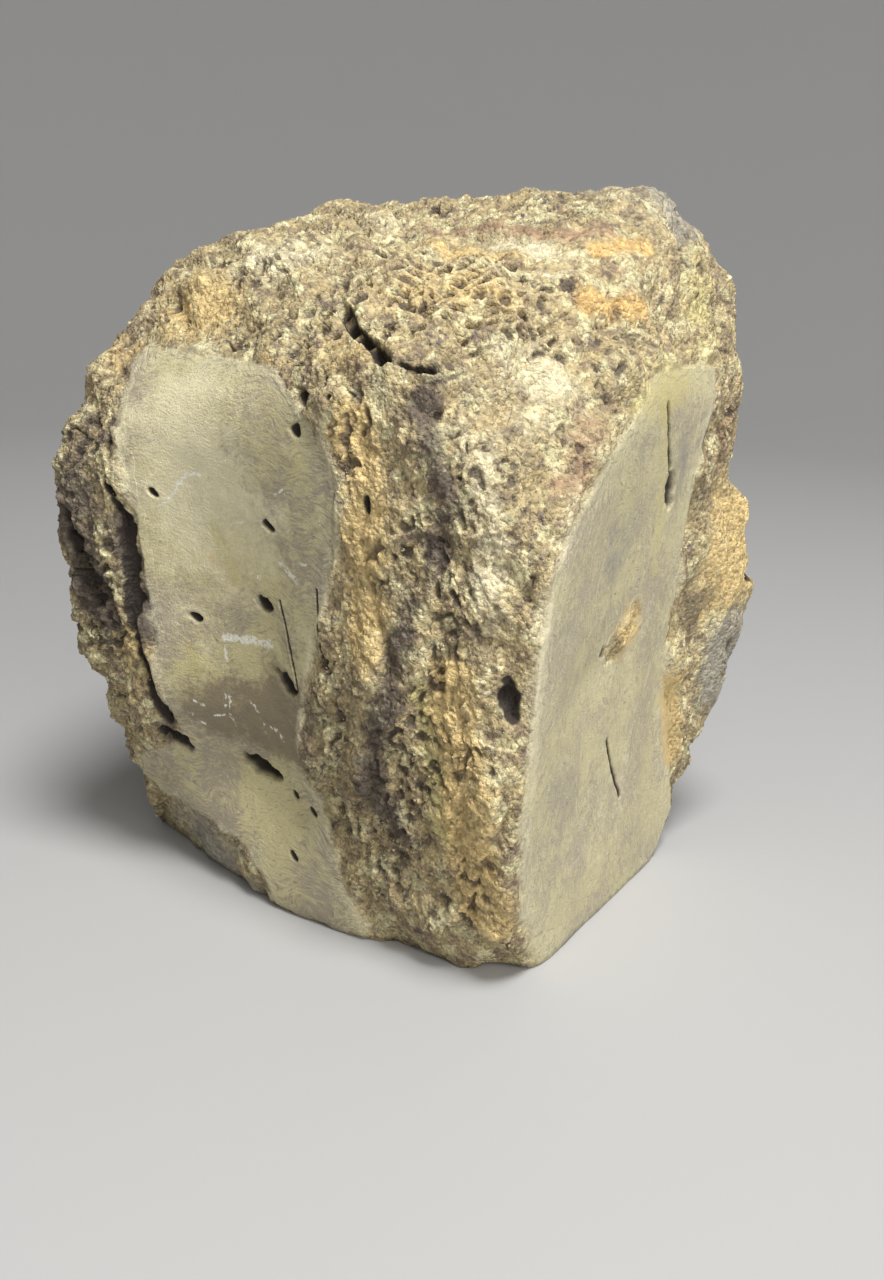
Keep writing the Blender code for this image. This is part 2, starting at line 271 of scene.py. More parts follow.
def smoothShare(points, pastRidge, ragged, reach=boneForm["edgeReach"]):
    # 1 on the smooth bone of the two side panels and the joint face, 0 where it is worn;
    # the ragged distance, in mm, draws its edges in
    x, y, z = points.T
    near = ramp(-y, *boneForm["panelSide"]) * (1.0 - past(z + ragged, boneForm["panelHead"], reach))
    near *= past(x - ragged, along(boneForm["panelLeft"], z), reach)
    near *= 1.0 - past(x + ragged, along(boneForm["panelRight"], z), reach)
    head, slope = boneForm["farPanelHead"]
    far = ramp(y, *boneForm["farPanelSide"])
    far *= 1.0 - past(z + ragged + slope * (x - boneForm["waist"]["farMiddle"]), head, reach)
    far *= past(x - ragged, along(boneForm["farPanelWornSide"], z), reach)
    far *= 1.0 - past(x + ragged, along(boneForm["farPanelJointSide"], z), reach)
    joint = past(pastRidge - ragged, boneForm["jointEdge"], reach)
    joint *= 1.0 - past(z + ragged, boneForm["jointHead"], reach)
    joint *= 1.0 - past(y + ragged, along(boneForm["lipEdge"], z), reach)
    for run, halfWidth in boneForm["sandyPatches"].values():
        joint *= past(distanceToRun(points, run) - 0.9 * ragged, halfWidth, reach)
    return np.clip(near + far + joint, 0.0, 1.0), joint


# Cracks, pits and blood-vessel holes: a run of points, half width and depth

openings = {
    "great vessel hole": (((-27.2, -22.0, 29.0), (-22.2, -22.6, 27.2)), 1.75, 4.6),
    "middle vessel hole": (((-15.6, -28.8, 49.2), (-12.2, -29.6, 47.2)), 1.35, 3.0),
    "upper vessel hole": (((-20.3, -28.2, 62.3), (-18.0, -28.6, 61.7)), 1.15, 2.4),
    "small hole, upper right": (((-16.5, -32, 77.1), (-15.2, -32, 76.7)), 0.75, 1.5),
    "small hole, left": (((-36.0, -28.5, 56.9), (-34.6, -28.5, 56.4)), 0.7, 1.5),
    "small hole, upper left": (((-41.5, -32.4, 79.6), (-40.6, -32.4, 79.2)), 0.65, 1.3),
    "small hole, low right": (((-8.4, -35.4, 94.3), (-7.6, -35.4, 94.0)), 0.8, 1.5),
    "low left hole": (((-45.6, -23.8, 30.6), (-42.8, -24.0, 28.8)), 1.7, 3.0),
    "slit of the low facet": (((-17.0, -23.3, 24.6), (-15.6, -23.6, 23.8)), 0.5, 0.9),
    "second slit of the low facet": (((-12.2, -24.7, 22.7), (-10.8, -24.9, 22.4)), 0.45, 0.8),
    "third slit of the low facet": (((-16.3, -25.0, 13.2), (-14.9, -25.1, 12.6)), 0.45, 0.7),
    "thin crack of the panel": (((-14.6, -30.2, 63.5), (-12.9, -30.2, 56), (-10.8, -30.1, 47.8)), 0.28, 0.7),
    "second thin crack": (((-4.9, -33.2, 67.6), (-4.4, -33.4, 60), (-3.1, -33.6, 54)), 0.28, 0.7),
    "slanting crack of the shoulder": (
        ((-6.0, -24.2, 111.8), (-3.4, -26.4, 110), (3.3, -31.2, 107.8), (7, -32.4, 105.3)), 1.1, 3.2),
    "branch of the slanting crack": (((7, -32.4, 105.3), (11.6, -33.3, 105.7), (15.7, -32.4, 105.1)), 0.7, 2.0),
    "pit over the panel": (((-7.6, -35.5, 101), (-6.2, -35.5, 98.4)), 1.0, 2.6),
    "thin crack of the rim": (((-3.5, -34.5, 104), (-0.5, -36, 99), (0.5, -36.3, 95)), 0.4, 1.0),
    "upright crack of the rim": (((6.2, -36.3, 87.9), (6.8, -35.6, 79.8)), 0.6, 1.6),
    "hollow of the worn rim": (((-61, -32.6, 72), (-59.0, -32.4, 65), (-56.5, -32.0, 57.0)), 2.0, 3.0),
    "cavity by the ridge": (((31.6, -33.0, 57.0), (32.4, -32.5, 52.5)), 1.6, 2.2),
    "hole of the joint face": (((31, 1.6, 55), (31, 2.8, 54.5)), 1.0, 3.2),
    "long crack of the joint face": (((37.3, 10.4, 98), (36.6, 13, 92), (35.9, 16.4, 85.8)), 0.6, 1.8),
    "open end of the long crack": (((35.9, 16.6, 85), (35.2, 19.2, 79.5)), 1.7, 3.6),
    "low crack of the joint face": (((31.6, 7.0, 36.3), (31.6, 10, 30), (31.6, 15.3, 22.3)), 0.45, 1.1),
    "crevice along the panel": (
        ((-50.8, -31.5, 90), (-47.8, -32, 78), (-47, -31, 64), (-46.2, -29, 48), (-44.4, -25.5, 34)), 1.0, 2.0),
}


# Stained zones, and zones of painted shade and painted light: middle and reach along each axis and strength, or a run,
# half width and strength

stainAndPaintedLightPlaces = {
    "ochre": {
        "left shoulder": ((-44, -17, 111), (14, 10, 8), 1.0),
        "beside the panel": (((4, -36.5, 96), (7, -36.5, 84), (6, -36.4, 72), (6, -35.7, 61)), 4.2, 1.2),
        "foot of the near rim": (((22, -34.4, 56), (24.5, -34.3, 40), (25, -31.5, 27), (27, -28, 15)), 4.4, 1.7),
        "far lip": ((37, 50, 66), (8, 11, 14), 1.3),
        "channel below the far lip": (((33, 35.5, 41), (32.2, 37.5, 33), (32.3, 40.5, 22)), 3.0, 1.3),
        "above the pores": ((2, 0, 121.5), (11, 4, 2.5), 1.3),
        "among the pores": ((8, -14, 115.5), (14, 10, 6), 0.7),
        "sandy patch of the joint face": ((32, 11, 58), (6, 7, 7), 0.9),
        "shoulder by the crack": ((0, -29, 105), (9, 7, 5), 0.8),
        "left rim, low": ((-50, -30, 48), (5, 6, 9), 0.7),
        "far side": ((-30, 52, 96), (20, 12, 14), 0.7),
        "worn end": ((-64, 14, 92), (9, 20, 14), 0.7),
        "worn end, low": ((-60, 30, 34), (12, 14, 14), 0.5),
    },
    "orange": {
        "upper band": (((22.8, 10, 123.1), (27.5, 18, 124)), 2.6, 0.9),
        "lower band": (((25.8, -1.2, 115.2), (31.5, 9.4, 113.8)), 2.3, 1.0),
        "spot on the panel": ((-30.5, -29.3, 68), (1.5, 4, 1.4), 0.6),
        "head of the panel": (((-52, -27, 103.6), (-35, -28, 104.8), (-17, -31, 104.6)), 1.2, 0.8),
        "rim of the worn end": ((-60, -20, 100), (6, 8, 5), 0.6),
    },
    "rust": {
        "strip along the canal": (((-11, 8, 125), (2, 9.6, 125.8), (15.5, 9.4, 125), (22.5, 14.5, 126.4)), 1.7, 1.0),
        "beside the joint face": (((34.4, -15.1, 96.3), (34.5, -22.5, 88)), 4.2, 0.75),
        "between the bands": (((20.7, 5.7, 121), (27.4, 8.8, 119.5)), 1.8, 0.5),
        "far corner": ((36.5, 43, 91), (6, 6, 9), 0.7),
    },
    "dark": {
        "streak of the near rim": (((14.5, -34.7, 101), (18, -35, 92), (20.6, -34.5, 86), (18.5, -35, 75)), 2.8, 0.9),
        "foot of the streak": (
            ((15, -36, 68), (13, -36.5, 62), (7.5, -34, 42), (5, -32.4, 34), (9, -32.4, 32), (12.5, -30, 26)), 3.0, 0.9),
        "second streak": (((12.8, -34, 98), (17.9, -32.4, 101), (12.1, -27.8, 110.9)), 1.8, 0.6),
        # painted shade: the left rim that faces away from the light, its hollow, the rim beside the panel and the
        # crevice along the panel
        "worn rim": ((-58, -31, 76), (7, 7, 20), 0.85),
        "hollow of the rim": (((-61, -32.8, 73), (-58.5, -32.3, 63), (-55.5, -32, 55)), 4.2, 1.8),
        "rim beside the panel": (((-50, -31.8, 74), (-47.8, -31.8, 65.8), (-46, -30, 52)), 2.2, 1.1),
        "crevice along the panel": (((-50.5, -31.5, 90), (-47, -31, 64), (-44.4, -25.5, 34)), 1.6, 1.0),
        # painted shade in the shoulder crack
        "shoulder crack": (((-3.4, -26.4, 110), (7, -32.4, 105.5)), 1.6, 0.8),
        "low by the panel": ((4, -30, 33), (5, 6, 8), 0.6),
        # painted shade in the low left hole
        "low left": ((-46, -22, 31), (6, 6, 5), 0.6),
        "far side, low": ((6, 50, 40), (16, 8, 16), 0.5),
        "worn end": ((-66, 8, 50), (8, 12, 16), 0.6),
    },
    "cream": {
        "knobs of the corner": ((26, -17, 103), (8, 10, 9), 0.8),
        "ridge of the near rim, head": ((23, -32, 92), (5, 6, 9), 0.6),
        "crest crystals": ((-31, -8, 119), (10, 10, 6), 0.9),
        "crystals of the crest": ((-20, 9, 126.5), (10, 5, 3), 0.6),
        "canal triangle": ((10, 6, 123), (9, 3.6, 4), 1.0),
        "under the triangle": ((20, 0, 118), (4, 4, 4), 0.7),
        "ridge of the near rim": ((28, -33, 76), (4, 7, 14), 0.7),
        "ridge of the joint face": (((36, -22, 89), (35.5, -29, 74), (34, -29.5, 52), (32, -26, 28)), 2.4, 0.6),
        "seam of the panel": (
            ((-3, -35.5, 96), (1.4, -36.5, 85), (0.2, -34.8, 73.5), (-6.3, -32, 58), (-12.3, -28, 37), (-13, -25, 29.5),
             (-5.4, -26, 17), (1, -25.5, 2)), 1.1, 0.7),
        "far shoulder": ((-10, 46, 118), (20, 8, 7), 0.7),
        "worn end rim": ((-62, 38, 84), (8, 8, 12), 0.7),
    },
    "grey": {
        "far arch base": ((22, 38, 129), (18, 14, 7), 1.0),
        "facet of the far lip": ((38, 53, 41), (7, 7, 11), 1.8),
        "dish of the joint face": ((34.3, -1, 73), (6, 9, 9), 0.7),
        "chip of the foot": ((-42, -20, 6), (14, 8, 8), 0.9),
        "beside the long crack": ((36.4, 22, 85), (5, 4, 11), 0.8),
        "underside": ((-16, 12, 0), (60, 45, 5), 0.6),
    },
    "pale": {
        # painted light: the head and middle of the panel are paler, where the waist faces up towards the light
        "head of the panel": ((-34, -30, 92), (16, 12, 13), 0.9),
        "middle of the panel": ((-28, -29, 74), (16, 10, 12), 1.2),
        "low left of the panel": ((-35, -27, 54), (8, 9, 8), 0.4),
        # partly painted light from the floor below on the low joint face, and partly its pale bone
        "joint face, low": ((32, 8, 22), (10, 24, 18), 0.4),
        "foot of the ochre band": (((24.5, -34.3, 42), (25, -31.5, 27), (27, -28, 15)), 3.0, 0.6),
    },
    "yellow": {
        "middle of the panel": ((-27, -29, 69), (13, 10, 9), 0.6),
        "low left of the panel": ((-36, -27, 46), (9, 9, 10), 0.5),
        "beside the ochre band": (((17, -34.7, 54), (19, -34, 42), (20, -32, 30)), 2.6, 1.0),
        "head of the joint face": ((37.5, 10, 101), (6, 16, 6), 0.9),
        "along the long crack": (((37, 9, 97), (36, 14, 86), (34, 18, 66)), 2.2, 0.6),
        "far top": ((31, 34, 112), (8, 10, 10), 0.8),
        "far panel": ((-14, 42, 62), (18, 12, 20), 0.6),
    },
    "brown": {
        # painted shade: the panel's hollow and its lower part are darker, where the waist faces down
        "hollow of the panel": ((-14, -29, 43), (8, 9, 14), 0.9),
        "low panel": ((-27, -27, 39), (16, 8, 7), 1.3),
        "foot of the far lip": ((34.6, 40, 54.5), (5, 5, 4.5), 1.0),
        "head of the ridge": ((36, -6, 97), (6, 6, 5), 0.4),
    },
}


def zoneShare(points, places):
    share = np.zeros(len(points))
    for first, second, strength in places.values():
        if isinstance(first[0], tuple):
            share += strength * hill(distanceToRun(points, first), 0.0, second)
            continue
        offset = (points - np.array(first, float)) / np.array(second, float)
        share += strength * np.exp(-(offset**2).sum(axis=1))
    return np.clip(share, 0.0, 1.0)


# The surface: one closed skin under everything, and on its worn sides a crust of finer faces

surfaceSettings = {
    "ballSteps": 6,
    "rounds": 6,
    "splitFrom": 1.36,
    "skinEdges": {"smooth": 0.8, "worn": 2.4, "underside": 3.0},  # mm
    "crustEdges": {"near side": 0.33, "joint end": 0.31, "far side": 0.46, "worn end": 0.46, "top": 0.385},
    "openingEdge": 0.30,
    "wave": (38.0, 0.8),  # size and height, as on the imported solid
    "crust": 0.1,
    "lump": (12.0, 1.7),
    "knob": (8.0, 4.0, 0.2, 0.65),  # with the level that is even with the crust, and the stretch
    "uneven": (1.7, 0.45),  # size and share of the bays in the rim of an opening
    "smoothWave": (9.0, 0.22),
    "smoothPit": (2.4, 0.08),
    "peel": 0.30,  # the smooth layer stands this far over the worn bone at its edge
    "overlap": 2.2,  # the skin runs on this far under the crust, and the crust over the smooth bone
    "under": 1.6,  # then the skin drops this far
    "dive": 0.8,  # and the crust this far
    "below": 0.06,  # the skin lies this far under the crust where both run on
}
reliefSettings = {
    "warp": (4.5, 1.1),  # size and reach of the bends in the pattern
    "fineWarp": (1.3, 0.3),
    "stretch": 0.72,
    "edgeCalm": (5.0, 0.55),  # the relief is lower this far from the smooth bone, and by this share
    "billow": (2.5, 3, 0.5),  # size, octaves and height of the grains and creases
    "flakes": ((1.7, 0.17, 0.26), (0.95, 0.10, 0.24)),  # size, step and lean of the angular flakes
    "broken": (9.0, 0.55, 0.02, 0.34),  # size, upright stretch and edges of the zones with cavities
    "hollows": (1.7, 0.12, 0.38, 0.95),  # size, edges and depth of the cavities
    "pore": (2.9, 0.05, 0.36, 1.6),  # cell size, edges of its wall, depth
    "porous": {
        "top of the shoulder": ((7, -15, 115), (16, 12, 9), 2.0),
        "left rim": ((-57, -26, 70), (8, 10, 30), 0.45),
        "crest": ((-26, 20, 127), (26, 14, 9), 0.2),
        "worn end": ((-66, 14, 62), (12, 28, 44), 0.4),
        "far arch base": ((10, 46, 120), (26, 10, 10), 0.3),
    },
    "rugged": {
        "left rim": ((-57, -26, 62), (9, 12, 38), 1.0),
        "near rim": ((18, -35, 56), (7, 10, 46), 0.5),
        "low near rim": ((4, -30, 24), (14, 10, 20), 0.6),
        "worn end": ((-66, 12, 62), (10, 30, 44), 0.5),
    },
    "calm": {
        "far lip": ((38, 46, 58), (10, 12, 24), 0.7),
        "foot chip": ((-42, -20, 6), (14, 8, 8), 0.6),
        "bands of the far arch base": ((26, 9, 118), (9, 13, 9), 0.9),
        "strip along the canal": (((-11, 8, 125), (2, 9.6, 125.8), (15.5, 9.4, 125), (22.5, 14.5, 126.4)), 2.4, 1.0),
        "canal triangle": ((10, 5.5, 123), (10, 4.2, 4), 1.0),
        "far arch base": ((24, 40, 128), (15, 13, 7), 0.7),
        "knobs of the corner": ((25, -16, 104), (9, 11, 10), 0.5),
        "ochre band of the near rim": ((7, -36, 84), (4, 10, 18), 0.6),
        "facet of the far lip": ((38, 53.5, 41), (7, 6.5, 10), 1.8),
    },
}
sideScores = {  # the way that each side faces, over its distance from the heart
    "near side": ((0, -1, 0), 46.0),
    "joint end": ((1, 0, 0), 47.0),
    "far side": ((0, 1, 0), 44.0),
    "worn end": ((-1, 0, 0), 52.0),
    "top": ((0, 0, 1), 57.0),
    "underside": ((0, 0, -1), 60.0),
}
workingMiddle = (-14.171, 11.344)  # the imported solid's middle in the working frame, mm


def raysOf(ball):
    rays = np.array([vertex.co[:] for vertex in ball.verts])
    return rays / np.linalg.norm(rays, axis=1)[:, None]


def baseSurface(rays):
    points, pastRidge = wallsOfBone(rays)
    return hollowed(points), pastRidge


def baseNormals(rays):
    # the main form's own normals, the same for every mesh that is cut from it
    aside = np.cross(rays, np.where(np.abs(rays[:, 2:]) < 0.9, [[0.0, 0.0, 1.0]], [[1.0, 0.0, 0.0]]))
    aside /= np.linalg.norm(aside, axis=1)[:, None]
    upward = np.cross(rays, aside)
    steps = []
    for direction in (aside, upward):
        ends = []
        for sign in (-1.0, 1.0):
            moved = rays + sign * 0.008 * direction
            ends.append(baseSurface(moved / np.linalg.norm(moved, axis=1)[:, None])[0])
        steps.append(ends[1] - ends[0])
    normals = np.cross(steps[0], steps[1])
    normals *= np.sign((normals * rays).sum(axis=1))[:, None]
    return normals / np.linalg.norm(normals, axis=1)[:, None]


def openingDistances(points, rays):
    # in half widths: a long lens where a run has only its two ends, else a crack of even width
    # and how far the bone lies above or below the run makes no difference
    rows = []
    uneven = 1.0 + surfaceSettings["uneven"][1] * noiseAt(points, surfaceSettings["uneven"][0], 61.0)
    for run, halfWidth, depth in openings.values():
        if len(run) > 2:
            rows.append(distanceToRun(points, run, rays) / halfWidth * uneven)
            continue
        first, last = np.array(run, float)
        span = last - first
        halfLength = 0.5 * np.linalg.norm(span) + halfWidth
        offset = points - 0.5 * (first + last)
        offset -= (offset * rays).sum(axis=1)[:, None] * rays
        lengthwise = offset @ span / np.linalg.norm(span)
        across = np.sqrt(np.maximum((offset**2).sum(axis=1) - lengthwise**2, 0.0))
        rows.append(np.hypot(lengthwise / halfLength, across / halfWidth) * uneven)
    return rows


def skinEdgeWanted(points, smooth):
    edges = surfaceSettings["skinEdges"]
    wanted = edges["worn"] + (edges["smooth"] - edges["worn"]) * smooth
    return np.where(points[:, 2] < 0.4, edges["underside"], wanted)


def splitLongEdges(ball, side):
    rays = raysOf(ball)
    points, pastRidge = baseSurface(rays)
    points[:, 2] = np.maximum(points[:, 2], 0.0)
    smooth, _ = smoothShare(points, pastRidge, 0.0)
    if side is None:
        wide, _ = smoothShare(points, pastRidge, -2.0 * surfaceSettings["overlap"])
        wanted = skinEdgeWanted(points, wide)
    else:
        wanted = np.full(len(points), surfaceSettings["crustEdges"][side])
    for (run, halfWidth, depth), distance in zip(openings.values(), openingDistances(points, rays)):
        onPiece = smooth if side is None else 1.0 - smooth
        close = onPiece * (1.0 - ramp(distance * halfWidth, 1.2 * halfWidth + 0.3, 1.6 * halfWidth + 1.2))
        fine = np.minimum(wanted, max(surfaceSettings["openingEdge"], 0.35 * halfWidth))
        wanted += (fine - wanted) * close
    ball.verts.index_update()
    ball.edges.ensure_lookup_table()
    ends = np.array([(edge.verts[0].index, edge.verts[1].index) for edge in ball.edges])
    lengths = np.linalg.norm(points[ends[:, 0]] - points[ends[:, 1]], axis=1)
    limit = surfaceSettings["splitFrom"] * 0.5 * (wanted[ends[:, 0]] + wanted[ends[:, 1]])
    longEdges = [ball.edges[int(i)] for i in np.nonzero(lengths > limit)[0]]
    bmesh.ops.subdivide_edges(ball, edges=longEdges, cuts=1)
    bmesh.ops.triangulate(ball, faces=[face for face in ball.faces if len(face.verts) > 3])
    return len(longEdges)


def keepWornSide(ball, side):
    # only the faces of one side that are worn, or next to worn bone
    points, pastRidge = baseSurface(raysOf(ball))
    inside, _ = smoothShare(points, pastRidge, surfaceSettings["overlap"] + 2.5)
    ball.verts.index_update()
    names = list(sideScores)
    unwanted = []
    for face in ball.faces:
        corners = [vertex.index for vertex in face.verts]
        outward = points[corners].mean(axis=0) - heart
        scores = [np.dot(outward, way) / reach for way, reach in sideScores.values()]
        if names[int(np.argmax(scores))] != side or inside[corners].min() > 0.98:
            unwanted.append(face)
    bmesh.ops.delete(ball, geom=unwanted, context="FACES")


def vectorNoiseAt(points, size, seed=0.0):
    return np.array([noise.noise_vector(Vector(place)) for place in points / size + seed])


def wornRelief(points, nearSmooth):
    # grains with creases between them, leaning flakes, broken zones with cavities, and round pores
    cfg = reliefSettings
    porous, rugged, calm = (zoneShare(points, cfg[name]) for name in ("porous", "rugged", "calm"))
    strength = (1.0 + 0.7 * rugged) * (1.0 - 0.8 * calm) * (1.0 - 2.0 * cfg["edgeCalm"][1] * nearSmooth)
    strength *= 1.0 - 0.4 * np.minimum(porous, 1.0)
    bent = points + cfg["warp"][1] * vectorNoiseAt(points, cfg["warp"][0], 3.0)
    bent += cfg["fineWarp"][1] * vectorNoiseAt(points, cfg["fineWarp"][0], 8.0)
    upright = np.array([1.0, 1.0, cfg["stretch"]])
    size, octaves, rise = cfg["billow"]
    billow = billowAt(bent * upright, size, octaves, 2.0)
    height = rise * (billow - 0.42)
    flakes = cfg["flakes"]
    for number, (size, step, slope) in enumerate(flakes):
        near, border, chance, lean = cellsAt(bent * upright, size, 3.1 + 8.0 * number)
        height += step * (2.0 * chance - 1.0) + slope * size * lean
        if number == 0:
            flakeEdge = 1.0 - ramp(border, 0.02, 0.22)
            sunken = ramp(chance, 0.62, 0.70) * ramp(border, 0.0, 0.14)
    size, stretch, low, high = cfg["broken"]
    broken = noiseAt(points * np.array([1.0, 1.0, stretch]), size, 31.0) + 0.3 * rugged - 0.2 * calm
    broken = ramp(broken, low, high)
    size, low, high, depth = cfg["hollows"]
    pit = broken * np.maximum(0.6 * sunken, ramp(noiseAt(bent * upright, size, 17.0), low, high))
    # pores are cells with thin walls left between them
    poreSize, wallLow, wallHigh, poreDepth = cfg["pore"]
    near, border, chance, lean = cellsAt(points + 0.35 * (bent - points), poreSize, 23.0)
    openPore = ramp(porous + 0.05, chance, chance + 0.15)
    hole = openPore * ramp(border, wallLow, wallHigh) * (1.0 - ramp(near, 0.45, 0.75))
    rim = openPore * (1.0 - ramp(border, 0.0, wallHigh))
    height = strength * height - depth * pit + 0.3 * rim - poreDepth * (0.6 + 0.6 * chance) * hole
    # cavity marks the creases, flake edges, pits and pores that the material darkens: painted shade together with dirt
    crease = (1.0 - ramp(billow, 0.10, 0.26)) * (1.0 - 0.7 * calm)
    cavity = 0.55 * crease + 0.22 * flakeEdge * strength + 0.9 * pit + 0.95 * hole**1.3
    # crest marks the grain tops and pore rims, which the material lightens as a painted highlight
    crest = np.clip(ramp(billow, 0.35, 0.85) * (1.0 - pit) + 0.6 * rim, 0.0, 1.0)
    return height, np.clip(cavity, 0.0, 1.0), crest, np.minimum(calm, 1.0)


def shapeOf(rays, isCrust):
    cfg = surfaceSettings
    points, pastRidge = baseSurface(rays)
    normals = baseNormals(rays)
    largeSize, largeReach, smallSize, smallReach = boneForm["raggedEdge"]
    ragged = largeReach * noiseAt(points, largeSize, 41.0) + smallReach * noiseAt(points, smallSize, 43.0)
    smooth, joint = smoothShare(points, pastRidge, ragged)
    plain, _ = smoothShare(points, pastRidge, 0.0)
    soft, _ = smoothShare(points, pastRidge, 0.6 * ragged, boneForm["colorReach"])
    worn = 1.0 - smooth
    coarse = cfg["wave"][1] * noiseAt(points, cfg["wave"][0])
    lumps = cfg["crust"] + cfg["lump"][1] * noiseAt(points, cfg["lump"][0])
    knobSize, knobHeight, knobLevel, knobStretch = cfg["knob"]
    drawnOut = points * np.array([1.0, 1.0, knobStretch])
    lumps += knobHeight * (np.abs(noiseAt(drawnOut, knobSize)) - knobLevel)
    coarse += (1.0 - plain) * lumps
    deep, _ = smoothShare(points, pastRidge, 0.0, boneForm["rimReach"])
    masks = {"worn": worn, "joint": joint, "wornColor": 1.0 - soft, "nearEdge": 1.0 - np.clip(2.0 * deep - 1.0, 0.0, 1.0)}
    smoothHeight = cfg["smoothWave"][1] * noiseAt(points, cfg["smoothWave"][0], 9.0)
    smoothHeight += cfg["smoothPit"][1] * noiseAt(points, cfg["smoothPit"][0], 15.0) + cfg["peel"]
    if isCrust:
        nearSmooth, _ = smoothShare(points, pastRidge, ragged, reliefSettings["edgeCalm"][0])
        height, cavity, crest, calm = wornRelief(points, np.minimum(nearSmooth, 0.5))
        masks["gritty"] = worn * (1.0 - 0.9 * calm)
        height = worn * height + smooth * smoothHeight
        inside, _ = smoothShare(points, pastRidge, ragged + cfg["overlap"])
        height -= cfg["dive"] * inside
        cavity = worn * cavity
        masks["crest"] = worn * crest
    else:
        outside, _ = smoothShare(points, pastRidge, ragged - cfg["overlap"])
        height = smooth * smoothHeight - cfg["below"] - cfg["under"] * (1.0 - outside)
        cavity = np.zeros(len(points))
        masks["crest"] = np.zeros(len(points))
    shaped = points + rays * coarse[:, None]
    masks["opening"] = np.zeros(len(points))
    for (run, halfWidth, depth), distance in zip(openings.values(), openingDistances(shaped, rays)):
        hole = 1.0 - ramp(distance, 0.45, 1.2)
        masks["opening"] = np.maximum(masks["opening"], hole)
        height = height * (1.0 - 0.6 * hole) - depth * hole + 0.07 * hill(distance, 1.7, 0.5)
        cavity = np.maximum(cavity, hole)
    shaped += normals * height[:, None]
    (acrossX, acrossY), (reachX, reachY), rise, flatShare = boneForm["undersideHollow"]
    hollow = hill(shaped[:, 0], acrossX, reachX) * hill(shaped[:, 1], acrossY, reachY)
    floor = np.maximum(rise * (hollow**2 - flatShare), 0.0)
    # cavity is painted shade and dirt in the material, and is left off the flattened base
    masks["cavity"] = np.where(shaped[:, 2] < floor, 0.0, cavity)
    shaped[:, 2] = np.maximum(shaped[:, 2], floor)
    for name, places in stainAndPaintedLightPlaces.items():
        masks[name] = zoneShare(points, places)
    return shaped, masks


def withoutTwins(points, corners, masks):
    # faces that lie on one another go, and then the points that no face uses
    ordered = np.sort(corners, axis=1)
    codes = (ordered[:, 0] * len(points) + ordered[:, 1]) * len(points) + ordered[:, 2]
    _, which, counts = np.unique(codes, return_inverse=True, return_counts=True)
    corners = corners[counts[which] == 1]
    used, corners = np.unique(corners, return_inverse=True)
    return points[used], corners.reshape(-1, 3), {name: values[used] for name, values in masks.items()}


def closeToHeart(points, corners):
    # the open rim of a crust is drawn together inside the bone, so that the piece is closed
    directed = np.concatenate([corners[:, [0, 1]], corners[:, [1, 2]], corners[:, [2, 0]]])
    codes = directed[:, 0] * len(points) + directed[:, 1]
    backwards = directed[:, 1] * len(points) + directed[:, 0]
    rim = directed[~np.isin(codes, backwards)]
    apex = np.full((len(rim), 1), len(points))
    walls = np.concatenate([rim[:, ::-1], apex], axis=1)
    return np.vstack([points, heart]), np.vstack([corners, walls]), len(walls)


def meshFrom(name, points, corners, masks, wallCount):
    mesh = bpy.data.meshes.new(name)
    mesh.vertices.add(len(points))
    mesh.loops.add(corners.size)
    mesh.polygons.add(len(corners))
    shift = np.array([-workingMiddle[0], -workingMiddle[1], 0.0])
    mesh.vertices.foreach_set("co", ((points + shift) * mm).ravel())
    mesh.loops.foreach_set("vertex_index", corners.ravel().astype(np.int32))
    mesh.polygons.foreach_set("loop_start", np.arange(0, corners.size, 3, dtype=np.int32))
    mesh.update(calc_edges=True)
    for title, values in masks.items():
        padded = np.concatenate([values, np.zeros(len(points) - len(values))])
        mesh.attributes.new(title, "FLOAT", "POINT").data.foreach_set("value", padded.astype(np.float32))
    outside = np.ones(len(corners), np.float32)
    outside[len(corners) - wallCount:] = 0.0
    mesh.attributes.new("outside", "FLOAT", "FACE").data.foreach_set("value", outside)
    mesh.polygons.foreach_set("use_smooth", outside > 0.5)
    mesh.update()
    piece = bpy.data.objects.new(name, mesh)
    bpy.context.scene.collection.objects.link(piece)
    print(name + ":", len(mesh.polygons), "faces")
    return piece


def makeSurface(name, side=None):
    # the whole skin, or with a side the crust of that side
    ball = bmesh.new()
    bmesh.ops.create_icosphere(ball, subdivisions=surfaceSettings["ballSteps"], radius=1.0)
    if side is not None:
        keepWornSide(ball, side)
    for _ in range(surfaceSettings["rounds"]):
        if not splitLongEdges(ball, side):
            break
    ball.verts.index_update()
    corners = np.array([[vertex.index for vertex in face.verts] for face in ball.faces])
    points, masks = shapeOf(raysOf(ball), side is not None)
    ball.free()
    points, corners, masks = withoutTwins(points, corners, masks)
    wallCount = 0
    if side is not None:
        points, corners, wallCount = closeToHeart(points, corners)
    return meshFrom(name, points, corners, masks, wallCount)


skin = makeSurface("boneSkin")
crusts = {
    "near side": makeSurface("crustNearSide", "near side"),
    "joint end": makeSurface("crustJointEnd", "joint end"),
    "far side": makeSurface("crustFarSide", "far side"),
    "worn end": makeSurface("crustWornEnd", "worn end"),
    "top": makeSurface("crustTop", "top"),
}
for crust in crusts.values():
    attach(crust, "root")


# Helpers for node trees

def addNode(tree, kind, inputs=(), **settings):
    node = tree.nodes.new(kind)
    for name, value in settings.items():
        setattr(node, name, value)
    for socket, value in dict(inputs).items():
        if isinstance(value, bpy.types.NodeSocket):
            tree.links.new(value, node.inputs[socket])
        else:
            node.inputs[socket].default_value = value
    return node


def sum2(tree, operation, first, second=0.0, clamp=False):
    node = addNode(tree, "ShaderNodeMath", {0: first, 1: second}, operation=operation, use_clamp=clamp)
    return node.outputs[0]


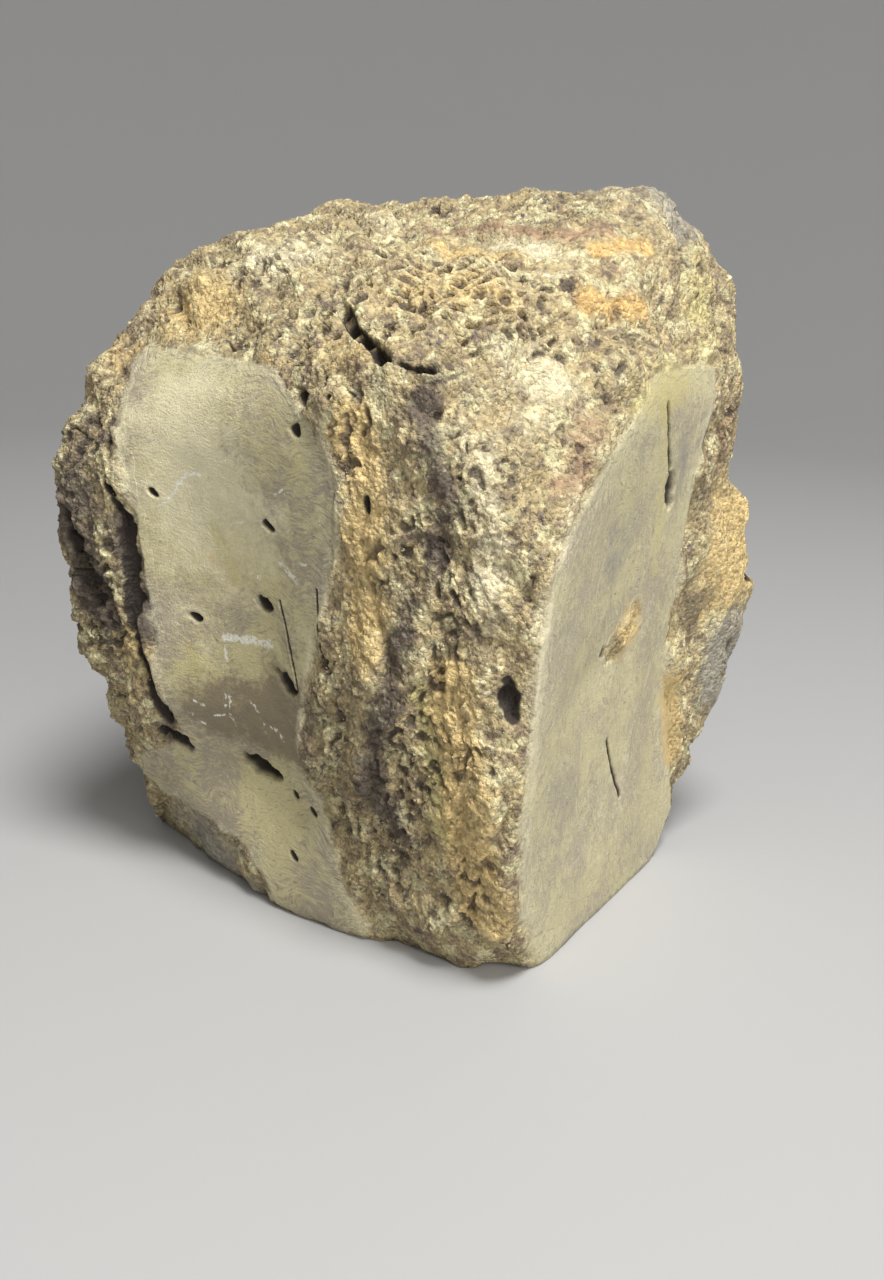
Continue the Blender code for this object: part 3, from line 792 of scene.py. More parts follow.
def mixColor(tree, share, first, second, blend="MIX"):
    node = addNode(tree, "ShaderNodeMix", data_type="RGBA", blend_type=blend)
    for socket, value in ((0, share), (6, first), (7, second)):
        if isinstance(value, bpy.types.NodeSocket):
            tree.links.new(value, node.inputs[socket])
        else:
            node.inputs[socket].default_value = value
    return node.outputs[2]


def mixValue(tree, share, first, second):
    return addNode(tree, "ShaderNodeMix", {0: share, 2: first, 3: second}, data_type="FLOAT").outputs[0]


def stepped(tree, value, low, high, first=0.0, second=1.0):
    settings = {"Value": value, "From Min": low, "From Max": high, "To Min": first, "To Max": second}
    return addNode(tree, "ShaderNodeMapRange", settings, interpolation_type="SMOOTHSTEP").outputs[0]


def noiseNode(tree, place, perMm, detail=3.0, rough=0.55, bend=0.0):
    settings = {"Vector": place, "Scale": perMm, "Detail": detail, "Roughness": rough, "Distortion": bend}
    return addNode(tree, "ShaderNodeTexNoise", settings).outputs["Fac"]


def cellNode(tree, place, perMm, feature="F1", output="Distance"):
    return addNode(tree, "ShaderNodeTexVoronoi", {"Vector": place, "Scale": perMm}, feature=feature).outputs[output]


def attributeNode(tree, name):
    return addNode(tree, "ShaderNodeAttribute", attribute_name=name).outputs["Fac"]


def stretched(tree, place, scale, turn=(0.0, 0.0, 0.0)):
    radians = tuple(math.radians(angle) for angle in turn)
    return addNode(tree, "ShaderNodeMapping", {"Vector": place, "Rotation": radians, "Scale": scale}).outputs[0]


def newGroup(name, inputs, outputs):
    tree = bpy.data.node_groups.new(name, "ShaderNodeTree")
    for title, kind, value in inputs:
        socket = tree.interface.new_socket(name=title, in_out="INPUT", socket_type=kind)
        if value is not None:
            socket.default_value = value
    for title, kind in outputs:
        tree.interface.new_socket(name=title, in_out="OUTPUT", socket_type=kind)
    return tree, tree.nodes.new("NodeGroupInput"), tree.nodes.new("NodeGroupOutput")


def useGroup(tree, group, inputs):
    node = tree.nodes.new("ShaderNodeGroup")
    node.node_tree = group
    for socket, value in inputs.items():
        if isinstance(value, bpy.types.NodeSocket):
            tree.links.new(value, node.inputs[socket])
        else:
            node.inputs[socket].default_value = value
    return node


# Stains: the colours of the mineral zones and of the painted shade and painted light, laid over the plain bone colour
# of the material

stainAndPaintedLightColors = {
    "pale": (0.72, 0.655, 0.43, 1.0),
    "yellow": (0.55, 0.475, 0.215, 1.0),
    "brown": (0.21, 0.165, 0.105, 1.0),
    "grey": (0.29, 0.27, 0.225, 1.0),
    "ochre": (0.60, 0.44, 0.195, 1.0),
    "cream": (0.69, 0.615, 0.405, 1.0),
    "orange": (0.66, 0.43, 0.165, 1.0),
    "rust": (0.34, 0.225, 0.135, 1.0),
    "dark": (0.10, 0.078, 0.066, 1.0),
}
stainAndPaintedLightSettings = {"cloud": 0.22, "speck": 1.1, "breakUp": 0.8, "low": 0.20, "high": 0.95}


def makeStainAndPaintedLightGroup():
    cfg = stainAndPaintedLightSettings
    sockets = [("Place", "NodeSocketVector", None), ("Color", "NodeSocketColor", (0.4, 0.36, 0.25, 1.0))]
    tree, given, made = newGroup("mineralStainsAndPaintedLight", sockets, [("Color", "NodeSocketColor")])
    color = given.outputs["Color"]
    for number, (name, stain) in enumerate(stainAndPaintedLightColors.items()):
        place = addNode(tree, "ShaderNodeVectorMath", {0: given.outputs["Place"], 1: (number * 31.0, 0.0, number * 17.0)})
        cloud = noiseNode(tree, place.outputs[0], cfg["cloud"], 4.0, 0.65)
        speck = noiseNode(tree, place.outputs[0], cfg["speck"], 2.0, 0.6)
        patch = sum2(tree, "ADD", cloud, sum2(tree, "MULTIPLY", speck, 0.5))
        patch = sum2(tree, "MULTIPLY", sum2(tree, "SUBTRACT", patch, 0.75), cfg["breakUp"] * 2.0)
        share = attributeNode(tree, name)
        broken = sum2(tree, "ADD", share, sum2(tree, "MULTIPLY", patch, stepped(tree, share, 0.0, 0.35)))
        color = mixColor(tree, stepped(tree, broken, cfg["low"], cfg["high"], 0.0, 0.85), color, stain)
    tree.links.new(color, made.inputs["Color"])
    return tree


def makeGrainGroup():
    # fine grit for worn bone: a tone and a height, from cells and noise of the given size
    sockets = [("Place", "NodeSocketVector", None), ("Size", "NodeSocketFloat", 1.0)]
    tree, given, made = newGroup("fineGrit", sockets, [("Tone", "NodeSocketFloat"), ("Height", "NodeSocketFloat")])
    perMm = sum2(tree, "DIVIDE", 1.0, given.outputs["Size"])
    place = given.outputs["Place"]
    near = cellNode(tree, place, perMm)
    fine = cellNode(tree, place, sum2(tree, "MULTIPLY", perMm, 2.3))
    rough = noiseNode(tree, place, sum2(tree, "MULTIPLY", perMm, 0.9), 4.0, 0.7)
    height = sum2(tree, "SUBTRACT", 1.0, sum2(tree, "MULTIPLY", near, 0.9))
    height = sum2(tree, "ADD", height, sum2(tree, "MULTIPLY", fine, -0.35))
    height = sum2(tree, "ADD", height, sum2(tree, "MULTIPLY", rough, 0.5))
    hue = addNode(tree, "ShaderNodeTexVoronoi", {"Vector": place, "Scale": perMm}).outputs["Color"]
    spread = addNode(tree, "ShaderNodeSeparateColor", {0: hue}).outputs[0]
    tone = sum2(tree, "ADD", sum2(tree, "MULTIPLY", spread, 0.45), sum2(tree, "MULTIPLY", rough, 0.6))
    tree.links.new(tone, made.inputs["Tone"])
    tree.links.new(height, made.inputs["Height"])
    return tree


def makeMarkGroup():
    # a thin mark from one point to another: 1 along its middle line, 0 beyond its half width
    sockets = [("Place", "NodeSocketVector", None), ("Start", "NodeSocketVector", None)]
    sockets += [("End", "NodeSocketVector", None), ("Half Width", "NodeSocketFloat", 0.3)]
    tree, given, made = newGroup("thinMark", sockets, [("Mask", "NodeSocketFloat")])
    start, halfWidth = given.outputs["Start"], given.outputs["Half Width"]

    def vector(operation, first, second):
        return addNode(tree, "ShaderNodeVectorMath", {0: first, 1: second}, operation=operation)

    offset = vector("SUBTRACT", given.outputs["Place"], start).outputs[0]
    span = vector("SUBTRACT", given.outputs["End"], start).outputs[0]
    part = sum2(tree, "DIVIDE", vector("DOT_PRODUCT", offset, span).outputs["Value"],
                vector("DOT_PRODUCT", span, span).outputs["Value"], clamp=True)
    reached = addNode(tree, "ShaderNodeVectorMath", {0: span}, operation="SCALE")
    tree.links.new(part, reached.inputs["Scale"])
    gap = vector("DISTANCE", offset, reached.outputs[0]).outputs["Value"]
    share = sum2(tree, "DIVIDE", gap, halfWidth)
    tree.links.new(stepped(tree, share, 0.35, 1.0, 1.0, 0.0), made.inputs["Mask"])
    return tree


stainAndPaintedLightGroup = makeStainAndPaintedLightGroup()
markGroup = makeMarkGroup()
gritGroup = makeGrainGroup()


# Bone material, for the skin

boneLook = {
    "mauve bone": (0.34, 0.285, 0.205, 1.0),
    "yellow bone": (0.55, 0.485, 0.25, 1.0),
    "joint bone": (0.48, 0.44, 0.315, 1.0),
    "edge bone": (0.66, 0.61, 0.43, 1.0),
    "tan": (0.44, 0.35, 0.185, 1.0),
    "brown": (0.25, 0.19, 0.12, 1.0),
    "straw": (0.61, 0.55, 0.32, 1.0),
    "mauve": (0.155, 0.122, 0.105, 1.0),
    # near-black painted shade, with dirt, deep in the vessel holes and cracks
    "holeShadeAndDirtColor": (0.045, 0.034, 0.027, 1.0),
    "scratchColor": (0.80, 0.78, 0.66, 1.0),
    # painted shade, with dirt, for the creases, pits and pores of the worn bone
    "creaseShadeAndDirtColor": (0.075, 0.056, 0.046, 1.0),
    # worn bone: a colour, how many patches a millimetre, and the edges of the patches
    "mottles": (("tan", 0.30, 0.40, 0.54), ("straw", 0.24, 0.49, 0.61), ("mauve", 0.34, 0.57, 0.67)),
    "smoothRough": 0.50,
    "wornRough": 0.86,
    "gritSize": 0.75,
    "gritBump": 0.00045,
    "strokeBump": 0.00042,
}

# Scratches and thin cracks of the smooth bone: a run of points and the half width
scratches = {
    "long scratch": (((-43.1, -32.1, 74.7), (-37.6, -31.9, 79), (-35.8, -32, 81.2), (-33.8, -32.2, 83.1),
                      (-30.7, -32.1, 83.8)), 0.34),
    "level scratch": (((-24.1, -30.7, 75.9), (-19.3, -31.5, 77.2), (-12.1, -33, 78.2)), 0.32),
    "hook": (((-13.9, -33.3, 82.3), (-11.4, -33.9, 83.7), (-10.5, -33.8, 81.3)), 0.28),
    "broad scratch": (((-13.6, -31.5, 70.3), (-10, -32.1, 68)), 0.62),
    "side scratch": (((-10.4, -32.4, 71.3), (-5.1, -33.8, 71.9)), 0.34),
    "upright scratch": (((-2.9, -35.3, 83.4), (-3, -34.9, 79.2)), 0.30),
    "bent scratch": (((-19.7, -29.7, 67), (-21.4, -28.4, 62.9), (-20.6, -28.1, 60.8)), 0.28),
    "upper left scratch": (((-37.7, -32.4, 91.2), (-36.6, -32.7, 87.9)), 0.30),
    "white band": (((-29.4, -27.5, 53.5), (-23.6, -27.7, 54), (-18, -28.6, 54.5)), 0.85),
    "drop under the band": (((-29.5, -27.5, 51.9), (-29.2, -27.4, 49.3)), 0.40),
    "root mark": (((-33, -26.1, 37.2), (-30.9, -26.1, 37.8), (-29.7, -26.8, 42.2)), 0.34),
    "second root mark": (((-29.1, -26.8, 42.2), (-29.4, -26.1, 38.6), (-28.3, -25.2, 35.2)), 0.34),
    "long root mark": (((-24.2, -26.7, 42), (-22.3, -26.6, 40.2), (-21.6, -26.3, 38.3), (-17.6, -26.8, 37.6),
                        (-17, -26.5, 35.9)), 0.36),
    "left root mark": (((-37.1, -27.2, 39.6), (-34.9, -26.7, 38.8)), 0.32),
    "low left root mark": (((-38.1, -26.9, 37.9), (-37.9, -26.3, 36), (-35.2, -25.6, 34.8)), 0.30),
}


def newMaterial(name, roughness):
    material = bpy.data.materials.new(name)
    material.use_nodes = True
    tree = material.node_tree
    shader = tree.nodes["Principled BSDF"]
    shader.inputs["Roughness"].default_value = roughness
    shader.inputs["Specular IOR Level"].default_value = 0.4
    place = addNode(tree, "ShaderNodeTexCoord").outputs["Object"]
    place = addNode(tree, "ShaderNodeVectorMath", {0: place, 3: 1.0 / mm}, operation="SCALE").outputs[0]
    place = addNode(tree, "ShaderNodeVectorMath", {0: place, 1: (*workingMiddle, 0.0)}).outputs[0]
    return material, tree, shader, place


def strokeLines(tree, place, scale, turn, width):
    # thin wandering lines where a stretched noise crosses its middle value
    run = stretched(tree, place, scale, turn)
    value = noiseNode(tree, run, 1.0, 3.0, 0.6, 0.35)
    ridge = sum2(tree, "ABSOLUTE", sum2(tree, "SUBTRACT", value, 0.5))
    return sum2(tree, "SUBTRACT", 1.0, stepped(tree, ridge, 0.0, width))


def makeBoneMaterial():
    look = boneLook
    material, tree, shader, place = newMaterial("fossilBone", look["wornRough"])
    worn, cavity, joint = (attributeNode(tree, name) for name in ("wornColor", "cavity", "joint"))
    grit = useGroup(tree, gritGroup, {"Place": place, "Size": look["gritSize"]})
    crest, nearEdge = attributeNode(tree, "crest"), attributeNode(tree, "nearEdge")
    wornPlain = look["brown"]
    for name, perMm, low, high in look["mottles"]:
        shifted = addNode(tree, "ShaderNodeVectorMath", {0: place, 1: (low * 400.0, 0.0, high * 90.0)})
        patch = noiseNode(tree, shifted.outputs[0], perMm, 6.0, 0.72)
        wornPlain = mixColor(tree, stepped(tree, patch, low, high), wornPlain, look[name])
    specks = noiseNode(tree, place, 0.95, 4.0, 0.7)
    wornPlain = mixColor(tree, stepped(tree, specks, 0.57, 0.66, 0.0, 0.75), wornPlain, look["mauve"])
    edge = noiseNode(tree, place, 1.6, 3.0, 0.7)
    ragged = sum2(tree, "ADD", worn, sum2(tree, "MULTIPLY", sum2(tree, "SUBTRACT", edge, 0.5), 1.1))
    wornShare = stepped(tree, ragged, 0.3, 0.7)
    # smooth bone: short strokes of two colours, slanting on the panels and upright on the joint face
    drift = addNode(tree, "ShaderNodeTexNoise", {"Vector": place, "Scale": 0.07, "Detail": 2.0}).outputs["Color"]
    drift = addNode(tree, "ShaderNodeVectorMath", {0: drift, 3: 14.0}, operation="SCALE").outputs[0]
    bent = addNode(tree, "ShaderNodeVectorMath", {0: place, 1: drift}).outputs[0]
    across = noiseNode(tree, stretched(tree, bent, (0.42, 0.42, 1.9), (0.0, -32.0, 0.0)), 1.0, 4.0, 0.66, 0.3)
    upright = noiseNode(tree, stretched(tree, bent, (0.5, 1.5, 0.5), (-14.0, 0.0, 0.0)), 1.0, 4.0, 0.68, 0.3)
    strokes = mixValue(tree, joint, across, upright)
    zone = noiseNode(tree, place, 0.075, 3.0, 0.55)
    strokeShare = sum2(tree, "ADD", strokes, sum2(tree, "MULTIPLY", sum2(tree, "SUBTRACT", zone, 0.5), 1.0))
    smoothPlain = mixColor(tree, stepped(tree, strokeShare, 0.33, 0.62), look["mauve bone"], look["yellow bone"])
    smoothPlain = mixColor(tree, sum2(tree, "MULTIPLY", joint, 0.3), smoothPlain, look["joint bone"])
    thin = strokeLines(tree, bent, (0.36, 0.36, 1.5), (0.0, -38.0, 0.0), 0.03)
    thinUpright = strokeLines(tree, bent, (0.7, 1.5, 0.5), (-14.0, 0.0, 0.0), 0.03)
    thin = mixValue(tree, joint, thin, thinUpright)
    pale = sum2(tree, "ADD", sum2(tree, "MULTIPLY", nearEdge, stepped(tree, strokes, 0.35, 0.65)), 0.22)
    pale = sum2(tree, "MULTIPLY", pale, sum2(tree, "ADD", sum2(tree, "MULTIPLY", thin, 0.75), 0.35), clamp=True)
    smoothPlain = mixColor(tree, pale, smoothPlain, look["edge bone"])
    # small dark slits and pale specks
    slits = noiseNode(tree, stretched(tree, bent, (0.8, 0.8, 2.6), (0.0, -30.0, 0.0)), 1.0, 2.0, 0.5)
    smoothPlain = mixColor(tree, stepped(tree, slits, 0.62, 0.70, 0.0, 0.65), smoothPlain, look["brown"])
    smoothPlain = mixColor(tree, stepped(tree, slits, 0.38, 0.30, 0.0, 0.6), smoothPlain, look["edge bone"])
    plain = mixColor(tree, wornShare, smoothPlain, wornPlain)
    color = useGroup(tree, stainAndPaintedLightGroup, {"Place": place, "Color": plain}).outputs["Color"]
    fine = noiseNode(tree, place, 2.4, 3.0, 0.7)
    cloud = noiseNode(tree, place, 0.35, 5.0, 0.7)
    smoothTone = sum2(tree, "ADD", sum2(tree, "MULTIPLY", cloud, 0.35), sum2(tree, "MULTIPLY", fine, 0.45))
    smoothTone = sum2(tree, "ADD", smoothTone, 0.60)
    wornTone = sum2(tree, "ADD", sum2(tree, "MULTIPLY", grit.outputs["Tone"], 1.25), 0.28)
    # painted highlight: the grain tops and pore rims are lighter
    wornTone = sum2(tree, "ADD", wornTone, sum2(tree, "MULTIPLY", crest, 0.28))
    tone = mixValue(tree, wornShare, smoothTone, wornTone)
    toneColor = addNode(tree, "ShaderNodeCombineXYZ", {0: tone, 1: tone, 2: tone}).outputs[0]
    color = mixColor(tree, 1.0, color, toneColor, "MULTIPLY")
    # scratches, broken up along their length
    sway = addNode(tree, "ShaderNodeTexNoise", {"Vector": place, "Scale": 0.8, "Detail": 2.0}).outputs["Color"]
    sway = addNode(tree, "ShaderNodeVectorMath", {0: sway, 1: (0.5, 0.5, 0.5)}, operation="SUBTRACT").outputs[0]
    swayed = addNode(tree, "ShaderNodeVectorMath", {0: sway, 1: (1.6, 1.6, 1.6), 2: place}, operation="MULTIPLY_ADD").outputs[0]
    scratch = 0.0
    for run, halfWidth in scratches.values():
        for start, end in zip(run[:-1], run[1:]):
            mark = useGroup(tree, markGroup, {"Place": swayed, "Start": start, "End": end, "Half Width": 1.3 * halfWidth})
            scratch = sum2(tree, "MAXIMUM", scratch, mark.outputs["Mask"])
    scratch = sum2(tree, "MULTIPLY", scratch, stepped(tree, noiseNode(tree, place, 1.5, 2.0, 0.6), 0.32, 0.50))
    color = mixColor(tree, scratch, color, look["scratchColor"])
    # painted shade and dirt in the creases, pits and pores of the worn bone
    color = mixColor(tree, stepped(tree, cavity, 0.25, 1.0, 0.0, 0.78), color, look["creaseShadeAndDirtColor"])
    # painted shade and dirt deep in the vessel holes and cracks
    deep = stepped(tree, attributeNode(tree, "opening"), 0.03, 0.40, 0.0, 0.97)
    color = mixColor(tree, deep, color, look["holeShadeAndDirtColor"])
    tree.links.new(color, shader.inputs["Base Color"])
    rough = mixValue(tree, wornShare, sum2(tree, "ADD", look["smoothRough"], sum2(tree, "MULTIPLY", cloud, 0.25)), look["wornRough"])
    tree.links.new(rough, shader.inputs["Roughness"])
    smoothHeight = sum2(tree, "ADD", sum2(tree, "MULTIPLY", strokes, 0.5), sum2(tree, "MULTIPLY", fine, 0.8))
    smoothHeight = sum2(tree, "MULTIPLY", smoothHeight, look["strokeBump"] / look["gritBump"])
    height = mixValue(tree, wornShare, smoothHeight, grit.outputs["Height"])
    bump = addNode(tree, "ShaderNodeBump", {"Height": height, "Strength": 1.0, "Distance": look["gritBump"]})
    tree.links.new(bump.outputs[0], shader.inputs["Normal"])
    return material


boneMaterial = makeBoneMaterial()
for piece in (skin, *crusts.values()):
    piece.data.materials.append(boneMaterial)
print("bone material made")


# Loose mineral grains on the worn bone

grainLook = {
    "grainColor": (0.57, 0.485, 0.29, 1.0),
    "roughness": 0.72,
    "gritSize": 0.45,
    "bump": 0.00012,
}


def makeGrainMaterial():
    look = grainLook
    material, tree, shader, place = newMaterial("mineralGrain", look["roughness"])
    grit = useGroup(tree, gritGroup, {"Place": place, "Size": look["gritSize"]})
    color = useGroup(tree, stainAndPaintedLightGroup, {"Place": place, "Color": look["grainColor"]}).outputs["Color"]
    chance = attributeNode(tree, "grainTone")
    tone = sum2(tree, "ADD", sum2(tree, "MULTIPLY", chance, 0.85), sum2(tree, "MULTIPLY", grit.outputs["Tone"], 0.45))
    tone = sum2(tree, "ADD", tone, 0.35)
    toneColor = addNode(tree, "ShaderNodeCombineXYZ", {0: tone, 1: tone, 2: tone}).outputs[0]
    color = mixColor(tree, 1.0, color, toneColor, "MULTIPLY")
    tree.links.new(color, shader.inputs["Base Color"])
    bump = addNode(tree, "ShaderNodeBump", {"Height": grit.outputs["Height"], "Strength": 0.8, "Distance": look["bump"]})
    tree.links.new(bump.outputs[0], shader.inputs["Normal"])
    return material


def scatterTree(name, shapeCount, facets, jag):
    # grains on the faces of one side, as thick as the mask attribute, sunk into the surface
    tree = bpy.data.node_groups.new(name, "GeometryNodeTree")
    wanted = [
        ("Geometry", "NodeSocketGeometry", None), ("Mask", "NodeSocketString", "gritty"),
        ("Spacing", "NodeSocketFloat", 1.0 * mm), ("Density", "NodeSocketFloat", 1.0e6), ("Smallest", "NodeSocketFloat", 0.3 * mm),
        ("Largest", "NodeSocketFloat", 0.9 * mm), ("Flatness", "NodeSocketFloat", 0.8), ("Sink", "NodeSocketFloat", 0.3),
        ("Seed", "NodeSocketInt", 1), ("Material", "NodeSocketMaterial", None),
    ]
    for title, kind, value in wanted:
        socket = tree.interface.new_socket(name=title, in_out="INPUT", socket_type=kind)
        if value is not None:
            socket.default_value = value
    tree.interface.new_socket(name="Geometry", in_out="OUTPUT", socket_type="NodeSocketGeometry")
    given, made = tree.nodes.new("NodeGroupInput").outputs, tree.nodes.new("NodeGroupOutput")
    outside = addNode(tree, "GeometryNodeInputNamedAttribute", {"Name": "outside"}, data_type="FLOAT").outputs[0]
    onBone = addNode(tree, "FunctionNodeCompare", {0: outside, 1: 0.5}, data_type="FLOAT", operation="GREATER_THAN")
    mask = addNode(tree, "GeometryNodeInputNamedAttribute", {"Name": given["Mask"]}, data_type="FLOAT").outputs[0]
    spread = addNode(tree, "GeometryNodeDistributePointsOnFaces", {
        "Mesh": given["Geometry"], "Selection": onBone.outputs[0], "Distance Min": given["Spacing"],
        "Density Max": given["Density"], "Density Factor": mask, "Seed": given["Seed"],
    }, distribute_method="POISSON")
    # sizes lean towards the small end
    chance = addNode(tree, "FunctionNodeRandomValue", {"Seed": given["Seed"]}, data_type="FLOAT").outputs[1]
    lean = sum2(tree, "POWER", chance, 1.8)
    size = sum2(tree, "ADD", given["Smallest"], sum2(tree, "MULTIPLY", lean, sum2(tree, "SUBTRACT", given["Largest"], given["Smallest"])))
    sunk = addNode(tree, "ShaderNodeVectorMath", {0: spread.outputs["Normal"]}, operation="SCALE")
    tree.links.new(sum2(tree, "MULTIPLY", sum2(tree, "MULTIPLY", size, given["Sink"]), -1.0), sunk.inputs["Scale"])
    seated = addNode(tree, "GeometryNodeSetPosition", {"Geometry": spread.outputs["Points"], "Offset": sunk.outputs[0]})
    toneSeed = sum2(tree, "ADD", given["Seed"], 7.0)
    tone = addNode(tree, "FunctionNodeRandomValue", {"Seed": toneSeed}, data_type="FLOAT").outputs[1]
    toned = addNode(tree, "GeometryNodeStoreNamedAttribute", {"Geometry": seated.outputs[0], "Name": "grainTone"}, data_type="FLOAT", domain="POINT")
    tree.links.new(tone, toned.inputs["Value"])
    shapes = tree.nodes.new("GeometryNodeJoinGeometry")
    for number in range(shapeCount):
        lump = addNode(tree, "GeometryNodeMeshIcoSphere", {"Radius": 1.0, "Subdivisions": facets}).outputs["Mesh"]
        where = tree.nodes.new("GeometryNodeInputPosition").outputs[0]
        bend = addNode(tree, "ShaderNodeTexNoise", {"Vector": where, "W": 3.7 * number, "Scale": 0.9, "Detail": 1.0}, noise_dimensions="4D")
        push = addNode(tree, "ShaderNodeVectorMath", {0: bend.outputs["Color"], 1: (0.5, 0.5, 0.5)}, operation="SUBTRACT")
        push = addNode(tree, "ShaderNodeVectorMath", {0: push.outputs[0]}, operation="SCALE")
        push.inputs["Scale"].default_value = jag
        moved = addNode(tree, "GeometryNodeSetPosition", {"Geometry": lump, "Offset": push.outputs[0]}).outputs[0]
        single = addNode(tree, "GeometryNodeGeometryToInstance", {0: moved}).outputs[0]
        tree.links.new(single, shapes.inputs[0])
    spinLow, spinHigh = (-0.5, -0.5, -3.14), (0.5, 0.5, 3.14)
    spin = addNode(tree, "FunctionNodeRandomValue", {0: spinLow, 1: spinHigh, "Seed": given["Seed"]}, data_type="FLOAT_VECTOR").outputs[0]
    asTurn = addNode(tree, "FunctionNodeEulerToRotation", {0: spin}).outputs[0]
    turned = addNode(tree, "FunctionNodeRotateRotation", {0: spread.outputs["Rotation"], 1: asTurn}, rotation_space="LOCAL").outputs[0]
    wide = addNode(tree, "ShaderNodeCombineXYZ", {0: 1.0, 1: 0.82, 2: given["Flatness"]}).outputs[0]
    scale = addNode(tree, "ShaderNodeVectorMath", {0: wide}, operation="SCALE")
    tree.links.new(size, scale.inputs["Scale"])
    placed = addNode(tree, "GeometryNodeInstanceOnPoints", {
        "Points": toned.outputs[0], "Instance": shapes.outputs[0], "Pick Instance": True,
        "Rotation": turned, "Scale": scale.outputs[0],
    })
    real = addNode(tree, "GeometryNodeRealizeInstances", {0: placed.outputs[0]}).outputs[0]
    painted = addNode(tree, "GeometryNodeSetMaterial", {"Geometry": real, "Material": given["Material"]}).outputs[0]
    tree.links.new(painted, made.inputs[0])
    return tree


def scatterPiece(name, carrierMesh, tree, settings, smoothShaded):
    carrier = bpy.data.objects.new(name + "Carrier", carrierMesh)
    bpy.context.scene.collection.objects.link(carrier)
    modifier = carrier.modifiers.new("scatter", "NODES")
    modifier.node_group = tree
    for item in tree.interface.items_tree:
        if item.in_out == "INPUT" and item.name in settings:
            modifier[item.identifier] = settings[item.name]
    evaluated = carrier.evaluated_get(bpy.context.evaluated_depsgraph_get())
    mesh = bpy.data.meshes.new_from_object(evaluated)
    bpy.data.objects.remove(carrier)
    mesh.name = name
    if smoothShaded:
        mesh.shade_smooth()
    else:
        mesh.shade_flat()
    piece = bpy.data.objects.new(name, mesh)
    bpy.context.scene.collection.objects.link(piece)
    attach(piece, "root")
    print(name + ":", len(mesh.polygons), "faces")
    return piece


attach(skin, "root")
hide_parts("centrum")
grainMaterial = makeGrainMaterial()
gritTree = scatterTree("gritScatter", 5, 1, 0.9)

gritSettings = {
    "Spacing": 0.85 * mm,
    "Density": 0.7e6,
    "Smallest": 0.22 * mm,
    "Largest": 0.58 * mm,
    "Flatness": 0.55,
    "Sink": 0.62,
}
for number, (side, crust) in enumerate(crusts.items()):
    name = "grit" + side.title().replace(" ", "")
    settings = {**gritSettings, "Seed": 11 + number, "Material": grainMaterial}
    scatterPiece(name, crust.data, gritTree, settings, False)


# The studio: a pale floor that turns up into a round wall, soft lights and the camera

studio = {
    "floorRadius": 1.3,
    "cornerRadius": 0.7,
    "wallHeight": 1.6,
    "segments": 96,
    "cornerSteps": 10,
    "floorColor": (0.44, 0.437, 0.43, 1.0),
    "worldColor": (1.0, 0.99, 0.97, 1.0),
    "worldStrength": 0.145,
}


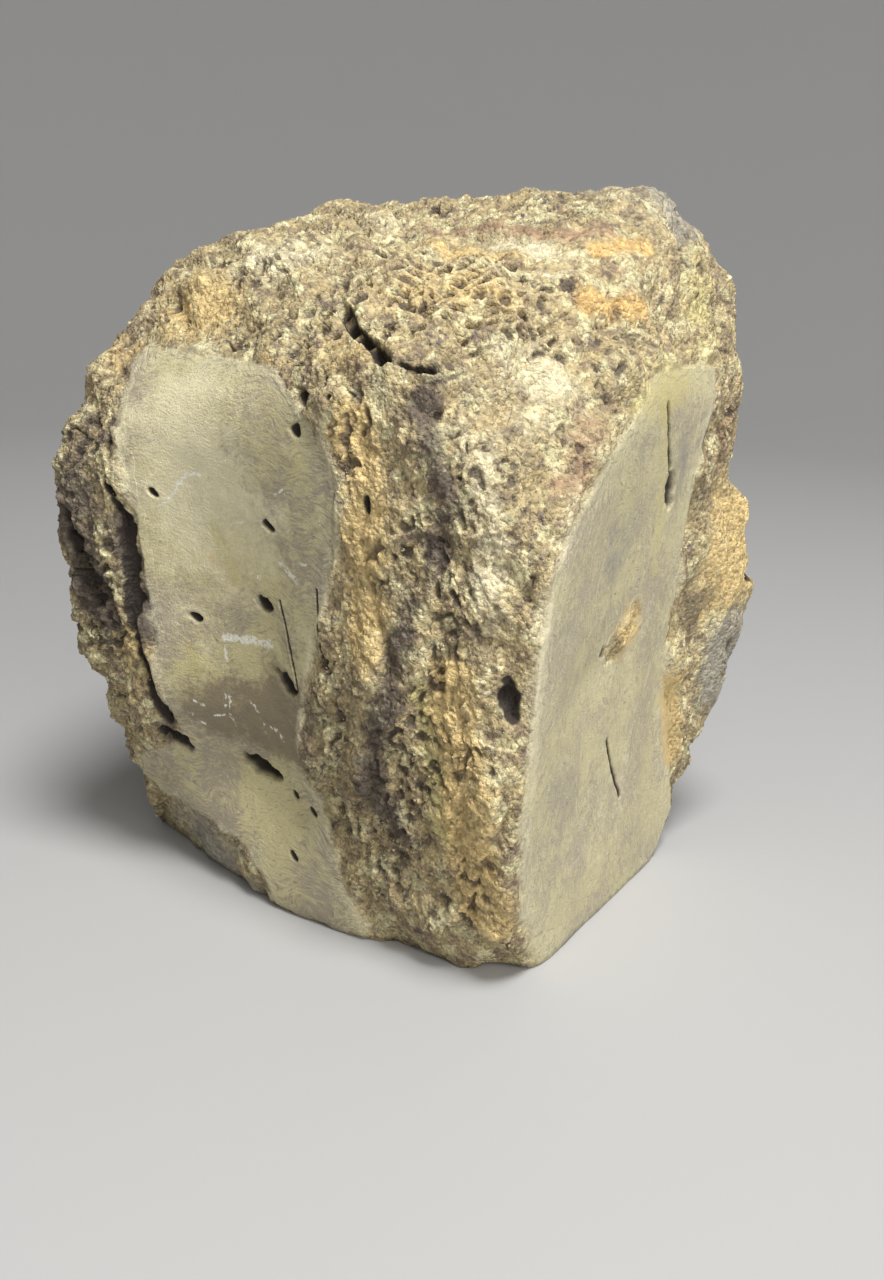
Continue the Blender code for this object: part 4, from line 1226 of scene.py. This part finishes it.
def makeStudio():
    cfg = studio
    profile = [(0.0, 0.0), (0.2, 0.0), (cfg["floorRadius"] - cfg["cornerRadius"], 0.0)]
    for step in range(1, cfg["cornerSteps"] + 1):
        angle = 0.5 * math.pi * step / cfg["cornerSteps"]
        outer = cfg["floorRadius"] - cfg["cornerRadius"] + cfg["cornerRadius"] * math.sin(angle)
        profile.append((outer, cfg["cornerRadius"] * (1.0 - math.cos(angle))))
    profile.append((cfg["floorRadius"], cfg["wallHeight"]))
    shell = bmesh.new()
    centre = shell.verts.new((0.0, 0.0, -0.0002))
    rings = []
    for radius, height in profile[1:]:
        ring = []
        for step in range(cfg["segments"]):
            angle = 2.0 * math.pi * step / cfg["segments"]
            ring.append(shell.verts.new((radius * math.cos(angle), radius * math.sin(angle), height - 0.0002)))
        rings.append(ring)
    for step in range(cfg["segments"]):
        after = (step + 1) % cfg["segments"]
        shell.faces.new((centre, rings[0][step], rings[0][after]))
        for inner, outer in zip(rings[:-1], rings[1:]):
            shell.faces.new((inner[step], outer[step], outer[after], inner[after]))
    mesh = bpy.data.meshes.new("studioFloor")
    shell.to_mesh(mesh)
    shell.free()
    mesh.shade_smooth()
    floor = bpy.data.objects.new("studioFloor", mesh)
    bpy.context.scene.collection.objects.link(floor)
    material = bpy.data.materials.new("paleStudioFloor")
    material.use_nodes = True
    shader = material.node_tree.nodes["Principled BSDF"]
    shader.inputs["Base Color"].default_value = cfg["floorColor"]
    shader.inputs["Roughness"].default_value = 0.6
    mesh.materials.append(material)
    world = bpy.data.worlds.new("studioSky")
    world.use_nodes = True
    sky = world.node_tree.nodes["Background"]
    sky.inputs["Color"].default_value = cfg["worldColor"]
    sky.inputs["Strength"].default_value = cfg["worldStrength"]
    bpy.context.scene.world = world


# compass and tilt of the light seen from the bone, its distance, size and power
lights = {
    "topSoftbox": {"from": (-38.0, 66.0), "distance": 0.95, "size": 0.34, "power": 10.7},
    "frontFill": {"from": (-52.0, 34.0), "distance": 1.1, "size": 0.6, "power": 2.6},
    "rightFill": {"from": (-18.0, 20.0), "distance": 1.0, "size": 0.4, "power": 3.4},
}


def makeLights():
    target = np.array([0.0, 0.0, 0.06])
    for name, cfg in lights.items():
        lamp = bpy.data.lights.new(name, "AREA")
        lamp.shape = "DISK"
        lamp.size = cfg["size"]
        lamp.energy = cfg["power"]
        holder = bpy.data.objects.new(name, lamp)
        outward = facing(*cfg["from"])
        holder.location = Vector(target + outward * cfg["distance"])
        holder.rotation_mode = "QUATERNION"
        holder.rotation_quaternion = Vector(-outward).to_track_quat("-Z", "Y")
        bpy.context.scene.collection.objects.link(holder)


cameraSettings = {
    "eye": (124.58, -215.77, 128.04),  # mm in the working frame
    "compass": 119.976,
    "tilt": -17.078,
    "roll": 1.973,
    "lens": 38.96,
}


def makeCamera():
    cfg = cameraSettings
    look = Vector(facing(cfg["compass"], cfg["tilt"]))
    level = look.cross(Vector((0.0, 0.0, 1.0))).normalized()
    up = level.cross(look)
    turn = math.radians(cfg["roll"])
    right = level * math.cos(turn) + up * math.sin(turn)
    up = up * math.cos(turn) - level * math.sin(turn)
    lens = bpy.data.cameras.new("photoCamera")
    lens.sensor_width = 36.0
    lens.lens = cfg["lens"]
    lens.clip_start = 0.01
    lens.clip_end = 10.0
    camera = bpy.data.objects.new("photoCamera", lens)
    camera.matrix_world = Matrix((right, up, -look)).transposed().to_4x4()
    camera.location = (Vector(cfg["eye"]) - Vector((*workingMiddle, 0.0))) * mm
    bpy.context.scene.collection.objects.link(camera)
    bpy.context.scene.camera = camera


makeStudio()
makeLights()
makeCamera()
bpy.context.scene.view_settings.view_transform = "Standard"
print("studio ready")
